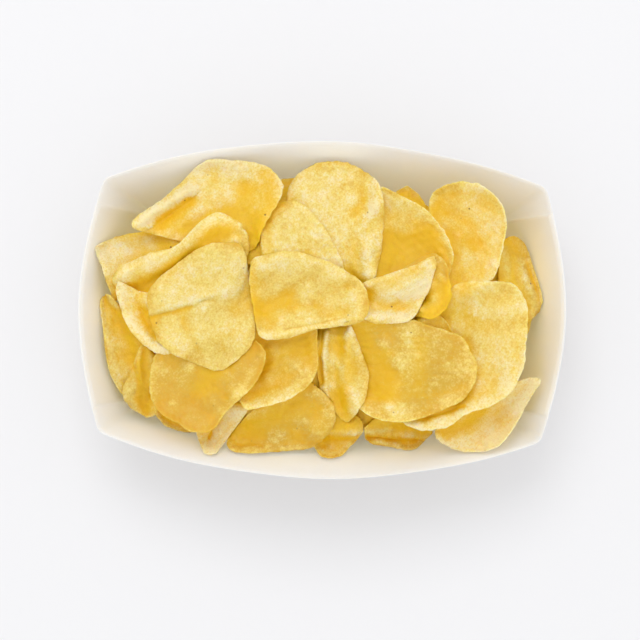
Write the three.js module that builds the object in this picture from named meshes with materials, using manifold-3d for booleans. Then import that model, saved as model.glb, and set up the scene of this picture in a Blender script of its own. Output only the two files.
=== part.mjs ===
// A paperboard food tray heaped with potato crisps.
// Millimetres, +Z up, +X along the tray, origin at the middle of the tray's underside.
import * as THREE from "three";
import { mergeVertices } from "three/addons/utils/BufferGeometryUtils.js";
import Module from "manifold-3d";

const wasm = await Module();
wasm.setup();

// ---- The tray: a floor with four walls that lean out to an arched rim ----
const BOARD = 0.6; // thickness of the paperboard
const WALL = 0.7; // the same board measured level, across a leaning wall
const FLOOR_X = 75; // half the floor's length
const FLOOR_Y = 41; // half the floor's width
const CORNER = [93, 53.5, 40]; // a rim corner
const BULGE_X = 9; // how far an end wall's rim arches out past its corners
const BULGE_Y = 16.5; // the same for a long wall
const RISE_X = 5; // how far an end wall's rim arches up above its corners
const RISE_Y = 8; // the same for a long wall
const PANEL_FOOT = 40; // half the width of the end panel at the floor
const PANEL_RIM = 43; // half its width at the rim; beyond it the long walls' flaps show
const PANEL_EDGE = 0.3; // run of the step at the panel's cut edge
const LONG_STEPS = 16; // faces along a long wall
const PANEL_STEPS = 8; // along an end panel
const WALL_STEPS = 3; // up a wall

// ---- The heap ----
const GAP = 0.3; // between the heap and the tray
const HEAP_CEILING = 90; // above every crisp
const CEILING_SPREAD = 1.1; // how much wider the heap's room is up there than at the rim
const CORE_X = 82; // half the core's length at its shoulder
const CORE_Y = 45; // half its width there
const CORE_FOOT_X = 72; // the same two at its foot
const CORE_FOOT_Y = 38;
const CORE_POWER = 2.6; // roundness of its outline: 2 is an ellipse, more is squarer
const CORE_SHOULDER = 24; // height of the shoulder
const CORE_POINTS = 40; // round each of its rings
const CORE_RINGS = [0.94, 0.72, 0.42, 0.16]; // the dome's rings, as shares of the shoulder
const MOUND_TOP = 49; // height at which a crisp lies in the middle
const MOUND_DROP = 13; // and how far it falls by MOUND_X and MOUND_Y
const MOUND_X = 95;
const MOUND_Y = 62;
const FOLLOW = 0.6; // share of the mound's slope that a crisp takes on
const CORE_SINK = 0.4; // the core's dome below that height

// ---- Crisps ----
const CRISP = 1.4; // thickness
const BITE = 0.3; // how far a crisp sinks into what it lies on, which joins them
const LAY = 31; // points across a crisp while it is laid
const SIDES = 6; // faces across a crisp in the solid
const GROW = 3; // how far round an obstacle its lift is held, in grid steps
const EASE = 12; // rounds over which that lift eases off
const CELL = 0.5; // side of a cell of the height map
const MAP_X = 110; // half its length
const MAP_Y = 76; // half its width
const WALL_ACROSS = 600; // points of a wall that go into the map
const WALL_UP = 200;
const WALL_CLEAR = 1.2; // height kept above a wall's board
const ROUNDNESS = 2.2; // of a crisp's outline: 2 is an ellipse, more is squarer
const WANDER = [0.018, 0.012]; // how far its outline wanders, over four waves and over seven
const RIPPLE = 0.6; // height of the waves in its rim
const LEAST_UP = 0.35; // least upward share of a normal when a crisp's thickness is measured upright
const BETWEEN = 8; // points added between two grid points when a crisp covers the map
const WELD = 1e-4; // points nearer than this are one

// The crisps from the lowest to the topmost.
// at: middle; size: length and width; turn: heading of the length, in degrees from +X.
// lift: height above the mound; pitch and bank: tilt along the length and across it, in degrees.
// dish: rise at the ends and at the sides; twist: rise of two opposite corners.
// taper: how much wider the far end is; square: roundness of the outline.
// tri: share and heading of three lobes.
// folds: [u, v, heading, height, width before, width after, half length], a ridge, or a valley
// if the height is negative.
// rolls: [heading, offset, radius, degrees], the part past a line curls up.
const CRISPS = [
  {
    name: "left_back", at: [-71.5, 23], size: [52, 27.5], turn: 10, seed: 1,
    pitch: -1, bank: -3, dish: [3, -2], twist: 2, square: 2.3,
  },
  {
    name: "left_wall", at: [-75.5, -17], size: [53, 33.5], turn: 102, seed: 2,
    bank: 2, dish: [-3, 1], square: 2.4,
    folds: [[0, 9.5, 0, -1.6, 2.2, 2.2, 26]],
  },
  {
    name: "left_low", at: [-65, -32.5], size: [32, 33], turn: 110, seed: 3,
    bank: 4, dish: [1, -4],
  },
  {
    name: "front_left_under", at: [-55.5, -38], size: [36, 27.5], turn: -20, seed: 4,
    bank: 4, dish: [3, 3],
  },
  {
    name: "front_small", at: [6.5, -49.5], size: [26, 25], turn: -60, seed: 6,
    dish: [3, 3],
  },
  {
    name: "front_double_rim", at: [34, -49.5], size: [31, 17.5], turn: 0, seed: 8,
    bank: 2, dish: [2, 3], square: 2.5,
    folds: [[0, -5.5, 0, 1.6, 1.4, 1.8, 14]],
  },
  {
    name: "right_front_lip", at: [70, -40.5], size: [54, 28.5], turn: 31, seed: 9,
    pitch: -2, bank: -12, dish: [4, 7], taper: -0.2,
  },
  {
    name: "right_wall", at: [77, 13], size: [41, 33], turn: 99, seed: 10,
    bank: 7, dish: [-3, -2],
  },
  {
    name: "back_hidden", at: [36, 40.5], size: [27.5, 19.5], turn: 95, seed: 11,
    dish: [2, 2],
  },
  {
    name: "right_hidden", at: [44.5, 4.5], size: [42, 32], turn: 40, seed: 12,
    dish: [4, 3],
  },
  {
    name: "back_right", at: [60.5, 34], size: [43, 33], turn: 98, seed: 13,
    lift: 4, bank: -6, dish: [6, 7], square: 2.3,
  },
  {
    name: "centre_under", at: [-11.5, 30], size: [38.5, 29.5], turn: 100, seed: 15,
    bank: -4, dish: [2, 3],
  },
  {
    name: "back_bowl", at: [38, 31], size: [45.5, 32], turn: -46, seed: 14,
    lift: 4, pitch: -4, bank: 9, dish: [4, 9],
  },
  {
    name: "back_centre", at: [4.5, 38.5], size: [50.5, 40.5], turn: 105, seed: 16,
    lift: 5, pitch: 2, dish: [-2, 3], twist: 2, taper: 0.15, square: 2.3,
  },
  {
    name: "centre_back", at: [-10, 24], size: [41, 32], turn: -42, seed: 17,
    dish: [2, -4], twist: -2,
  },
  {
    name: "back_long", at: [-47, 44.5], size: [68, 26], turn: 18, seed: 18,
    lift: 7, pitch: 1, bank: 2, dish: [2, -3], twist: -2, taper: 0.4,
    folds: [[-14.5, 1, 19, 4.5, 3, 7, 22], [-8, -4, 19, -3, 5, 4, 14]],
  },
  {
    name: "front_upright", at: [8, -26], size: [40.5, 24.5], turn: 85, seed: 20,
    pitch: -2, bank: -9, dish: [-3, 5],
    folds: [[0, 8, 0, 3, 2, 2, 18]],
  },
  {
    name: "front_dome", at: [-16.5, -44], size: [48, 33], turn: 3, seed: 7,
    bank: 2, dish: [-5, -5], square: 2.6,
  },
  {
    name: "front_spike", at: [-35.5, -38.5], size: [54, 22.5], turn: 64, seed: 5,
    pitch: 4, dish: [2, 7], taper: 0.35,
  },
  {
    name: "front_cup", at: [-20, -26], size: [40, 32], turn: 30, seed: 21,
    lift: 2, dish: [5, 4],
    rolls: [[195, 7, 14, 45]],
  },
  {
    name: "left_ridge", at: [-59, 13.5], size: [60, 35.5], turn: 24, seed: 19,
    lift: 3, pitch: 1, bank: 6, dish: [-2, 2], taper: 0.2,
    folds: [[0, 11, 0, 5, 7, 5, 40]],
  },
  {
    name: "front_left_bowl", at: [-46.5, -34.5], size: [50.5, 34.5], turn: 16, seed: 22,
    lift: 2, pitch: -4, dish: [5, 5],
    rolls: [[224, 7, 12, 62]],
  },
  {
    name: "left_small", at: [-70.5, -5.5], size: [37, 26], turn: -52, seed: 23,
    lift: 2, dish: [2, -3],
  },
  {
    name: "right_big", at: [61, -15], size: [64, 45.5], turn: 64, seed: 24,
    lift: 4, pitch: 2, bank: -6, dish: [3, 6], square: 2.3,
    folds: [[-27, -2, 90, 3, 5, 4, 14]],
  },
  {
    name: "front_right_big", at: [39.5, -24.5], size: [54, 40.5], turn: -12, seed: 25,
    lift: 3, pitch: 4, bank: -3, dish: [4, 4], twist: -2, square: 2.3,
  },
  {
    name: "centre_right_under", at: [34.5, 7], size: [39.5, 23.5], turn: 40, seed: 26,
    dish: [4, 4],
  },
  {
    name: "left_big", at: [-50, 0.5], size: [55.5, 46], turn: 78, seed: 27,
    lift: 4, pitch: -2, bank: 2, dish: [-4, 3], twist: 2, square: 2.3, tri: [0.06, -18],
    folds: [[-3.5, 12.5, -66, 2.6, 0.8, 9, 12]],
  },
  {
    name: "centre_leaf", at: [30, 7.5], size: [40.5, 23.5], turn: 36, seed: 28,
    lift: 3, dish: [6, -3], taper: -0.35,
  },
  {
    name: "centre_top", at: [-5, 5.5], size: [51, 33.5], turn: 4, seed: 29,
    lift: 3, dish: [2, -2], taper: -0.2, square: 2.8,
    folds: [[0, 10, -8, 4, 6, 5, 40], [0, -13.5, 8, 3, 3.5, 5, 30]],
  },
];

// ---- Small helpers ----
const mix = (a, b, t) => a + (b - a) * t;
const radians = (degrees) => (degrees * Math.PI) / 180;

// A repeatable draw from 0 to 1.
function draw(seed, k) {
  const v = Math.sin(seed * 12.9898 + k * 78.233) * 43758.5453;
  return v - Math.floor(v);
}

// A closed skin over rings of equal length, with a fan over each end.
function skin(rings, first, last) {
  const n = rings[0].length;
  const points = [...rings.flat(), first, last];
  const index = [];
  for (let r = 0; r + 1 < rings.length; r++)
    for (let i = 0; i < n; i++) {
      const a = r * n + i;
      const b = r * n + ((i + 1) % n);
      index.push(a, b, b + n, a, b + n, a + n);
    }
  const top = (rings.length - 1) * n;
  for (let i = 0; i < n; i++) {
    const next = (i + 1) % n;
    index.push(points.length - 2, next, i);
    index.push(points.length - 1, top + i, top + next);
  }
  return new THREE.BufferGeometry()
    .setAttribute("position", new THREE.Float32BufferAttribute(points.flat(), 3))
    .setIndex(index);
}

function solidOf(geometry) {
  const merged = mergeVertices(geometry, WELD);
  return new wasm.Manifold(
    new wasm.Mesh({
      numProp: 3,
      vertProperties: merged.attributes.position.array,
      triVerts: new Uint32Array(merged.index.array),
    }),
  );
}

function geometryOf(solid) {
  const m = solid.getMesh();
  return new THREE.BufferGeometry()
    .setAttribute("position", new THREE.BufferAttribute(new Float32Array(m.vertProperties), 3))
    .setIndex(new THREE.BufferAttribute(new Uint32Array(m.triVerts), 1));
}

// ---- Tray ----
// One wall's point: s runs from -1 to 1 between its corners, h from 0 at the floor to 1 at the rim.
function longWall(s, h, inset) {
  const arch = 1 - s * s;
  return [
    s * (mix(FLOOR_X, CORNER[0], h) - inset),
    mix(FLOOR_Y, CORNER[1] + BULGE_Y * arch, h) - inset,
    (CORNER[2] + RISE_Y * arch) * h,
  ];
}

function endWall(s, h, inset) {
  const arch = 1 - s * s;
  return [
    mix(FLOOR_X, CORNER[0] + BULGE_X * arch, h) - inset,
    s * (mix(FLOOR_Y, CORNER[1], h) - inset),
    (CORNER[2] + RISE_X * arch) * h,
  ];
}

// The tray's outline at one height, anticlockwise from above. inset moves it inwards, panel
// moves the end panels in again, and lift raises the outline's foot.
function outline(h, inset, panel, lift) {
  const half = mix(FLOOR_Y, CORNER[1], h);
  const edge = mix(PANEL_FOOT, PANEL_RIM, h) / half;
  const side = [];
  side.push(endWall(-1, h, inset));
  side.push(endWall(-edge - PANEL_EDGE / half, h, inset));
  for (let i = 0; i <= PANEL_STEPS; i++)
    side.push(endWall(mix(-edge, edge, i / PANEL_STEPS), h, inset + panel));
  side.push(endWall(edge + PANEL_EDGE / half, h, inset));
  for (let i = 0; i < LONG_STEPS; i++)
    side.push(longWall(1 - (2 * i) / LONG_STEPS, h, inset));
  const turned = side.map(([x, y, z]) => [-x, -y, z]);
  return [...side, ...turned].map(([x, y, z]) => [x, y, z + lift * (1 - h)]);
}

const wallLevels = () => Array.from({ length: WALL_STEPS + 1 }, (_, i) => i / WALL_STEPS);

function trayGeometry() {
  const levels = wallLevels();
  const outside = levels.map((h) => outline(h, 0, 0, 0));
  const inside = levels.map((h) => outline(h, WALL, WALL, BOARD)).reverse();
  return skin([...outside, ...inside], [0, 0, 0], [0, 0, BOARD]);
}

// The room that the heap may fill: the tray's inside less a gap, and the air above the rim.
function room() {
  const inset = WALL + GAP;
  const rings = wallLevels().map((h) => outline(h, inset, WALL, BOARD + GAP));
  rings.push(rings.at(-1).map(([x, y]) => [x * CEILING_SPREAD, y * CEILING_SPREAD, HEAP_CEILING]));
  return solidOf(skin(rings, [0, 0, BOARD + GAP], [0, 0, HEAP_CEILING]));
}

// ---- The core of the heap ----
function mound(x, y) {
  return MOUND_TOP - MOUND_DROP * ((x / MOUND_X) ** 2 + (y / MOUND_Y) ** 2);
}

function coreRing(halfX, halfY, height) {
  return Array.from({ length: CORE_POINTS }, (_, i) => {
    const a = (2 * Math.PI * i) / CORE_POINTS;
    const c = Math.cos(a);
    const s = Math.sin(a);
    const r = (Math.abs(c) ** CORE_POWER + Math.abs(s) ** CORE_POWER) ** (-1 / CORE_POWER);
    const x = halfX * r * c;
    const y = halfY * r * s;
    return [x, y, height(x, y)];
  });
}

function coreSolid() {
  const foot = BOARD + GAP;
  const top = (x, y) => mound(x, y) - CORE_SINK;
  const rings = [
    coreRing(CORE_FOOT_X, CORE_FOOT_Y, () => foot),
    coreRing(CORE_X, CORE_Y, () => CORE_SHOULDER),
    ...CORE_RINGS.map((k) => coreRing(CORE_X * k, CORE_Y * k, top)),
  ];
  return solidOf(skin(rings, [0, 0, foot], [0, 0, top(0, 0)]));
}

// ---- One crisp ----
// The middle surface over the unit disc (p, q), before the crisp is laid down.
function crispPoint(c, p, q) {
  const { size, dish, lift = 0, pitch = 0, bank = 0, twist = 0, taper = 0, square = ROUNDNESS } = c;
  const [lobes, lobesAt] = c.tri ?? [0, 0];
  const a = Math.atan2(q, p);
  const rim = (Math.abs(Math.cos(a)) ** square + Math.abs(Math.sin(a)) ** square) ** (-1 / square);
  const wander =
    1 +
    lobes * Math.cos(3 * (a - radians(lobesAt))) +
    WANDER[0] * Math.cos(4 * a + 2 * Math.PI * draw(c.seed, 2)) +
    WANDER[1] * Math.cos(7 * a + 2 * Math.PI * draw(c.seed, 3));
  let u = (size[0] / 2) * p * rim * wander;
  let v = (size[1] / 2) * q * rim * wander * (1 + taper * p);
  const along = u / (size[0] / 2);
  const side = v / (size[1] / 2);
  let w = dish[0] * along ** 2 + dish[1] * side ** 2 + twist * along * side;
  const waves = 3 + Math.floor(3 * draw(c.seed, 4));
  w += RIPPLE * Math.hypot(p, q) ** 3 * Math.cos(waves * a + 2 * Math.PI * draw(c.seed, 5));
  for (const [u0, v0, heading, height, before, after, length] of c.folds ?? []) {
    const h = radians(heading);
    const run = (u - u0) * Math.cos(h) + (v - v0) * Math.sin(h);
    const across = (v - v0) * Math.cos(h) - (u - u0) * Math.sin(h);
    const width = across > 0 ? after : before;
    w += height * Math.exp(-((across / width) ** 2) - (run / length) ** 4);
  }
  for (const [heading, offset, radius, most] of c.rolls ?? []) {
    const h = radians(heading);
    const past = v * Math.cos(h) - u * Math.sin(h) - offset;
    if (past <= 0) continue;
    const end = radians(most);
    const turned = Math.min(past / radius, end);
    const rest = past - turned * radius;
    const reach = radius * Math.sin(turned) + rest * Math.cos(turned) - past;
    u -= reach * Math.sin(h);
    v += reach * Math.cos(h);
    w += radius * (1 - Math.cos(turned)) + rest * Math.sin(turned);
  }
  const [x0, y0] = c.at;
  const tilt = new THREE.Matrix4()
    .makeRotationZ(radians(c.turn))
    .multiply(new THREE.Matrix4().makeRotationY(radians(-pitch)))
    .multiply(new THREE.Matrix4().makeRotationX(radians(bank)));
  const point = new THREE.Vector3(u, v, w).applyMatrix4(tilt);
  const slope = (point.x * x0) / MOUND_X ** 2 + (point.y * y0) / MOUND_Y ** 2;
  const fall = 2 * MOUND_DROP * FOLLOW * slope;
  return point.add(new THREE.Vector3(x0, y0, lift + mound(x0, y0) - fall));
}

// A square grid pressed into a disc.
function grid(n, make) {
  return Array.from({ length: n }, (_, i) =>
    Array.from({ length: n }, (_, j) => {
      const a = (2 * i) / (n - 1) - 1;
      const b = (2 * j) / (n - 1) - 1;
      return make(a * Math.sqrt(1 - (b * b) / 2), b * Math.sqrt(1 - (a * a) / 2));
    }),
  );
}

// Unit normals of a grid of points, from each point's neighbours.
function normals(points) {
  const last = points.length - 1;
  return points.map((row, i) =>
    row.map((_, j) => {
      const along = points[Math.min(i + 1, last)][j].clone().sub(points[Math.max(i - 1, 0)][j]);
      const across = row[Math.min(j + 1, last)].clone().sub(row[Math.max(j - 1, 0)]);
      return along.cross(across).normalize();
    }),
  );
}

// ---- Laying the crisps down ----
const MAP_COLUMNS = Math.round((2 * MAP_X) / CELL);
const MAP_ROWS = Math.round((2 * MAP_Y) / CELL);

function cellOf(x, y) {
  const i = Math.floor((x + MAP_X) / CELL);
  const j = Math.floor((y + MAP_Y) / CELL);
  const clamp = (k, most) => Math.min(Math.max(k, 0), most - 1);
  return clamp(i, MAP_COLUMNS) * MAP_ROWS + clamp(j, MAP_ROWS);
}

function raise(map, x, y, z) {
  const k = cellOf(x, y);
  map[k] = Math.max(map[k], z);
}

// The height map of the tray's walls and the core, before any crisp lies there.
function ground() {
  const map = new Float32Array(MAP_COLUMNS * MAP_ROWS);
  for (let i = 0; i <= WALL_ACROSS; i++)
    for (let j = 0; j <= WALL_UP; j++)
      for (const wall of [longWall, endWall]) {
        const [x, y, z] = wall((2 * i) / WALL_ACROSS - 1, j / WALL_UP, WALL + GAP);
        raise(map, x, y, z + WALL_CLEAR);
        raise(map, -x, -y, z + WALL_CLEAR);
      }
  const reach = CORE_RINGS[0];
  for (let x = -CORE_X; x < CORE_X; x += CELL)
    for (let y = -CORE_Y; y < CORE_Y; y += CELL) {
      const far = Math.abs(x / CORE_X) ** CORE_POWER + Math.abs(y / CORE_Y) ** CORE_POWER;
      if (far < reach ** CORE_POWER) raise(map, x, y, mound(x, y) - CORE_SINK);
    }
  return map;
}

// Each value with its four neighbours, put through a function.
function around(values, join) {
  const last = values.length - 1;
  return values.map((row, i) =>
    row.map((value, j) =>
      join(
        value,
        values[Math.min(i + 1, last)][j],
        values[Math.max(i - 1, 0)][j],
        row[Math.min(j + 1, last)],
        row[Math.max(j - 1, 0)],
      ),
    ),
  );
}

const highest = (...v) => Math.max(...v);
const average = (...v) => v.reduce((a, b) => a + b) / v.length;

// A smooth lift that is nowhere less than what is needed, and eases off around it.
function spread(need) {
  let wide = need;
  for (let k = 0; k < GROW; k++) wide = around(wide, highest);
  let lift = wide;
  for (let k = 0; k < EASE; k++)
    lift = around(lift, average).map((row, i) => row.map((v, j) => Math.max(v, wide[i][j])));
  for (let k = 0; k < GROW * GROW; k++) lift = around(lift, average);
  return lift.map((row, i) => row.map((v, j) => Math.max(v, need[i][j])));
}

// Raises the height map under every point of a grid, with points between them.
function cover(map, points) {
  for (let i = 0; i + 1 < points.length; i++)
    for (let j = 0; j + 1 < points.length; j++)
      for (let m = 0; m < BETWEEN; m++)
        for (let n = 0; n < BETWEEN; n++) {
          const near = points[i][j].clone().lerp(points[i + 1][j], m / BETWEEN);
          const far = points[i][j + 1].clone().lerp(points[i + 1][j + 1], m / BETWEEN);
          const { x, y, z } = near.lerp(far, n / BETWEEN);
          raise(map, x, y, z + CRISP / 2);
        }
}

// Bends a crisp up wherever it would sink into what is below it, and adds it to the map.
function lay(c, map) {
  const points = grid(LAY, (p, q) => crispPoint(c, p, q));
  const slopes = normals(points);
  const need = points.map((row, i) =>
    row.map(({ x, y, z }, j) => {
      const half = CRISP / 2 / Math.max(Math.abs(slopes[i][j].z), LEAST_UP);
      return Math.max(map[cellOf(x, y)] - BITE + half - z, 0);
    }),
  );
  const lift = spread(need);
  points.forEach((row, i) => row.forEach((point, j) => (point.z += lift[i][j])));
  cover(map, points);
  return points;
}

// A laid crisp as a closed sheet with few faces.
function crispSolid(points) {
  const every = (LAY - 1) / SIDES;
  const slopes = normals(points);
  const pick = (list) => list.filter((_, i) => i % every === 0);
  const middle = pick(points).map(pick);
  const up = pick(slopes).map(pick);
  const n = SIDES + 1;
  const face = (way) =>
    middle.flatMap((row, i) =>
      row.map((point, j) => point.clone().addScaledVector(up[i][j], (way * CRISP) / 2)),
    );
  const vertices = [...face(1), ...face(-1)].flatMap((v) => v.toArray());
  const below = n * n;
  const index = [];
  for (let i = 0; i < SIDES; i++)
    for (let j = 0; j < SIDES; j++) {
      const a = i * n + j;
      const b = a + n;
      index.push(a, b, b + 1, a, b + 1, a + 1);
      index.push(below + a, below + b + 1, below + b, below + a, below + a + 1, below + b + 1);
    }
  const border = [];
  for (let i = 0; i < SIDES; i++) border.push(i * n);
  for (let j = 0; j < SIDES; j++) border.push(SIDES * n + j);
  for (let i = SIDES; i > 0; i--) border.push(i * n + SIDES);
  for (let j = SIDES; j > 0; j--) border.push(j);
  border.forEach((a, k) => {
    const b = border[(k + 1) % border.length];
    index.push(a, below + b, b, a, below + a, below + b);
  });
  return solidOf(
    new THREE.BufferGeometry()
      .setAttribute("position", new THREE.Float32BufferAttribute(vertices, 3))
      .setIndex(index),
  );
}

// The core with every crisp joined to it, kept inside its room. Loose scraps are dropped and
// sealed pockets filled, because only the largest outer skin is kept.
function heapGeometry() {
  const map = ground();
  let heap = coreSolid();
  for (const c of CRISPS) heap = heap.add(crispSolid(lay(c, map)));
  const bodies = heap.intersect(room()).decompose();
  const largest = bodies.reduce((a, b) => (b.volume() > a.volume() ? b : a));
  return geometryOf(largest);
}

// ---- The object ----
function piece(name, geometry, material) {
  const mesh = new THREE.Mesh(geometry, new THREE.MeshStandardMaterial(material));
  mesh.name = name;
  return mesh;
}

const tray = piece("tray", trayGeometry(), { color: 0xf3efe8, roughness: 0.7, metalness: 0 });
const heap = piece("crisp_heap", heapGeometry(), { color: 0xedc766, roughness: 0.65, metalness: 0 });

const group = new THREE.Group();
group.add(tray, heap);
export default group;
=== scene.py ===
import functools
import math
from typing import NamedTuple

import bpy
import numpy as np
from bpy.props import FloatProperty, FloatVectorProperty, PointerProperty
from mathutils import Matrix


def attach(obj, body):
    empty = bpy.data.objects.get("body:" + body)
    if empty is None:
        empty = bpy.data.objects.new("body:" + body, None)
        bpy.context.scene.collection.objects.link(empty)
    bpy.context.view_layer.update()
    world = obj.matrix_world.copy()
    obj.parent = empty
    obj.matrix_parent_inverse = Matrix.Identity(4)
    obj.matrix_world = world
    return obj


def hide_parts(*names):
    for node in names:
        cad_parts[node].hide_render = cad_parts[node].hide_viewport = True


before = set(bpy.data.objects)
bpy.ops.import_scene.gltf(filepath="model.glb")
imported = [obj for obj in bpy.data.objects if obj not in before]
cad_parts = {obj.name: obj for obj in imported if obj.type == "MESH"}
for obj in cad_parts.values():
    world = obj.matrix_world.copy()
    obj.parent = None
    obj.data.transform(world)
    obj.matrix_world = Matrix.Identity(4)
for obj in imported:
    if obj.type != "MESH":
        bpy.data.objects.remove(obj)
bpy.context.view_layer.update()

bl_info = {
    "name": "Tray of potato crisps",
    "version": (1, 0, 0),
    "blender": (4, 5, 0),
    "location": "View3D > Sidebar > Crisps",
    "description": "Dresses a paperboard tray and its heap of crisps",
    "category": "Object",
}

MM = 0.001
TAU = 2 * math.pi

# ---- The tray: a floor with four walls that lean out to an arched rim ----
FLOOR_X, FLOOR_Y = 75, 41  # half the floor's length and width
CORNER_X, CORNER_Y, CORNER_Z = 93, 53.5, 40  # a rim corner
BULGE_X, BULGE_Y = 9, 16.5  # how far a wall's rim arches out past its corners
RISE_X, RISE_Y = 5, 8  # and how far it arches up above them
PANEL_FOOT, PANEL_RIM = 40, 43  # half the end panel's width at the floor and at the rim
STEP_RUN = 0.35  # run of the step at the end panel's cut edge
ROUND_FOOT, ROUND_RIM = 0.8, 2.6  # rounding of a corner at the floor and at the rim
CREASE = 0.9  # rounding of the fold between floor and wall
CUT_ROUND = 0.12  # height of the crown on the board's cut edge
CUT_ROWS = (0.12, 0.5, 0.88)  # where the crown's rows lie across that edge
NEAR_RIM = 0.99  # height share of a wall's last row below its rim
PANEL_COLUMNS, FLAP_COLUMNS, STEP_COLUMNS = 64, 8, 5
CORNER_COLUMNS, LONG_COLUMNS = 10, 132
WALL_ROWS, CREASE_ROWS, FLOOR_ROWS = 26, 6, 12
SAG = 0.25  # how far a wall wanders from its smooth bow at the rim
SAG_LENGTH = 70  # length of those waves
SAG_SHIFT = 1  # how far the ones along the tray are shifted, in radians
CUT_WALL = 0.35  # level thickness of the wall where the blade has pressed its edge
# The board's attribute named oil holds painted warm bounce light: it is full where the heap hides
# the sky from the inner face, and stands in for light thrown off the crisps.
BOUNCE_REACH = (4, 10, 18, 28)  # distances at which crisps near the board are looked for
BOUNCE_FULL = 0.4  # share of the sky that they hide where the painted warm bounce light is full
EDGE_TINT = 0.1  # share of the same warm colour on the whole cut edge, an even tint

# ---- The heap ----
MOUND_TOP, MOUND_DROP = 49.5, 13  # height of the heap in the middle, and its fall by its edge
MOUND_X, MOUND_Y = 95, 62  # where it has fallen that far
FOLLOW = 0.85  # share of the mound's slope that a crisp takes on
CORE_X, CORE_Y, CORE_POWER = 80, 43, 2.6  # the core's half sizes and the power of its outline
CORE_FOOT, CORE_FOOT_X, CORE_FOOT_Y = 1.2, 71, 37  # height and half sizes of its foot
CORE_FOOT_RINGS = (0.3, 0.6, 0.9, 1)  # the foot's rings, as shares of those half sizes
CORE_SHOULDER = 22  # height of its widest ring
CORE_LOW = 4  # how far the core's top lies below the mound
CORE_POINTS = 96  # points in each of its rings
CORE_RINGS = (0.98, 0.9, 0.75, 0.6, 0.45, 0.3, 0.15)  # its top's rings, as shares of the widest
CORE_TONE = 0.2
CELL = 0.5  # side of a cell of the height map
MAP_X, MAP_Y = 110, 76  # half its length and width
WALL_CLEAR = 1.0  # height kept above a wall's board
WALL_ALONG, WALL_UP = 600, 200  # points at which a wall's height is taken

# ---- Crisps ----
FINE, COARSE = 89, 41  # points across a crisp that shows and across one underneath
CROWD = 0.7  # how far the points crowd towards a crisp's rim, from 0 to 1
OUTLINE_STEPS = 720  # directions in which an outline is worked out
OUTLINE_ROUND = 0.06  # rounding of an outline's corners, in radians
OVAL_POWER = 2.2  # power of the outline of a crisp underneath
# Waves in an outline: how many go round it, the number of their draw, and their height as a
# share of its size.
NIBBLES = ((9, 31, 0.004), (16, 32, 0.003), (29, 33, 0.003), (47, 34, 0.003))
RIM_WAVE, RIM_CRINKLE = 0.45, 0.25  # heights of the waves in its rim
RIM_WAVES, RIM_SPARE = 3, 3  # least number of the broad ones, and how many a draw may add
RIM_CRINKLES = 7  # how many more the fine ones are
# Waves over the slice: the number of their first draw, their count, length and height.
BENDS = (40, 6, 13, 0.16)
DENTS = (200, 9, 3.6, 0.045)
WAVE_LEAST, WAVE_SPARE = 0.7, 0.6  # least share of that length, and what a draw may add
RIM_POWER = 60  # how late the slice thins towards its rim
LEAST_UP = 0.35  # a normal's upright part never counts as less, so steep spots rise little
BLISTERS = 9  # on each crisp
BLISTER_DRAW, BLISTER_DRAWS = 70, 5  # number of their first draw, and numbers kept for each
BLISTER_REACH = 0.42  # how far out they lie, as a share of the slice's size
BLISTER_LEAST, BLISTER_SPARE = 1.1, 1.9  # least radius, and what a draw may add
BLISTER_NARROW, BLISTER_WIDE = 0.75, 0.5  # least stretch, and what a draw may add
BLISTER_FULL = 3  # radius of one that has its full height
BLISTER_FADE = 8  # they fade out over one part in this many at the rim
TEXTURE_STEP = 40  # how far apart the textures of two crisps lie
TONE_SPARE = 0.08  # range of tones between crisps
REST = 0.15  # gap between a crisp and what it lies on
GROW, EASE, BLUR = 5, 82, 25  # rounds that widen, ease and smooth a crisp's lift
SETTLE = 2  # last rounds of smoothing of its lift and of its shelter
MAP_STEPS = 4  # steps in each of a fine crisp's when it is added to the height map
SKY_PARTS = 16  # directions in which a crisp's shelter is worked out
SKY_REACH = (2.5, 5, 9, 14)  # and the distances looked at in each
CREST_BLUR = 60  # rounds of smoothing that a crest stands out from
CREST_HEIGHT = 0.8  # height of a crest that counts in full


class Crisp(NamedTuple):
    """turn: heading of the length, in degrees from +X. seed: picks its random draws. rim: the
    outline's corners from above, x and y in turn. lift: height above the mound. pitch and
    bank: tilt along the length and across it. dish: rise at the ends and at the sides. twist:
    rise of two opposite corners. tone: colour darker above 0, paler below, partly how well it
    is fried and partly painted light and shade for how the crisp lies. mottle: strength of
    the mottling. lips: (heading, height, spread, start), where the rim curls up, from that
    share of the way out. forms: (height, left width, right width, gold, line), a ridge or
    valley along a line of corners, with widths on its two sides and how much deeper its
    colour is: gold above 0 paints shade in valleys and beside the crisps above, and below 0 a
    highlight."""

    name: str
    turn: float
    seed: int
    rim: tuple
    lift: float = 0
    pitch: float = 0
    bank: float = 0
    dish: tuple = (0, 0)
    twist: float = 0
    tone: float = 0
    mottle: float = 1
    lips: tuple = ()
    forms: tuple = ()


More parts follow.
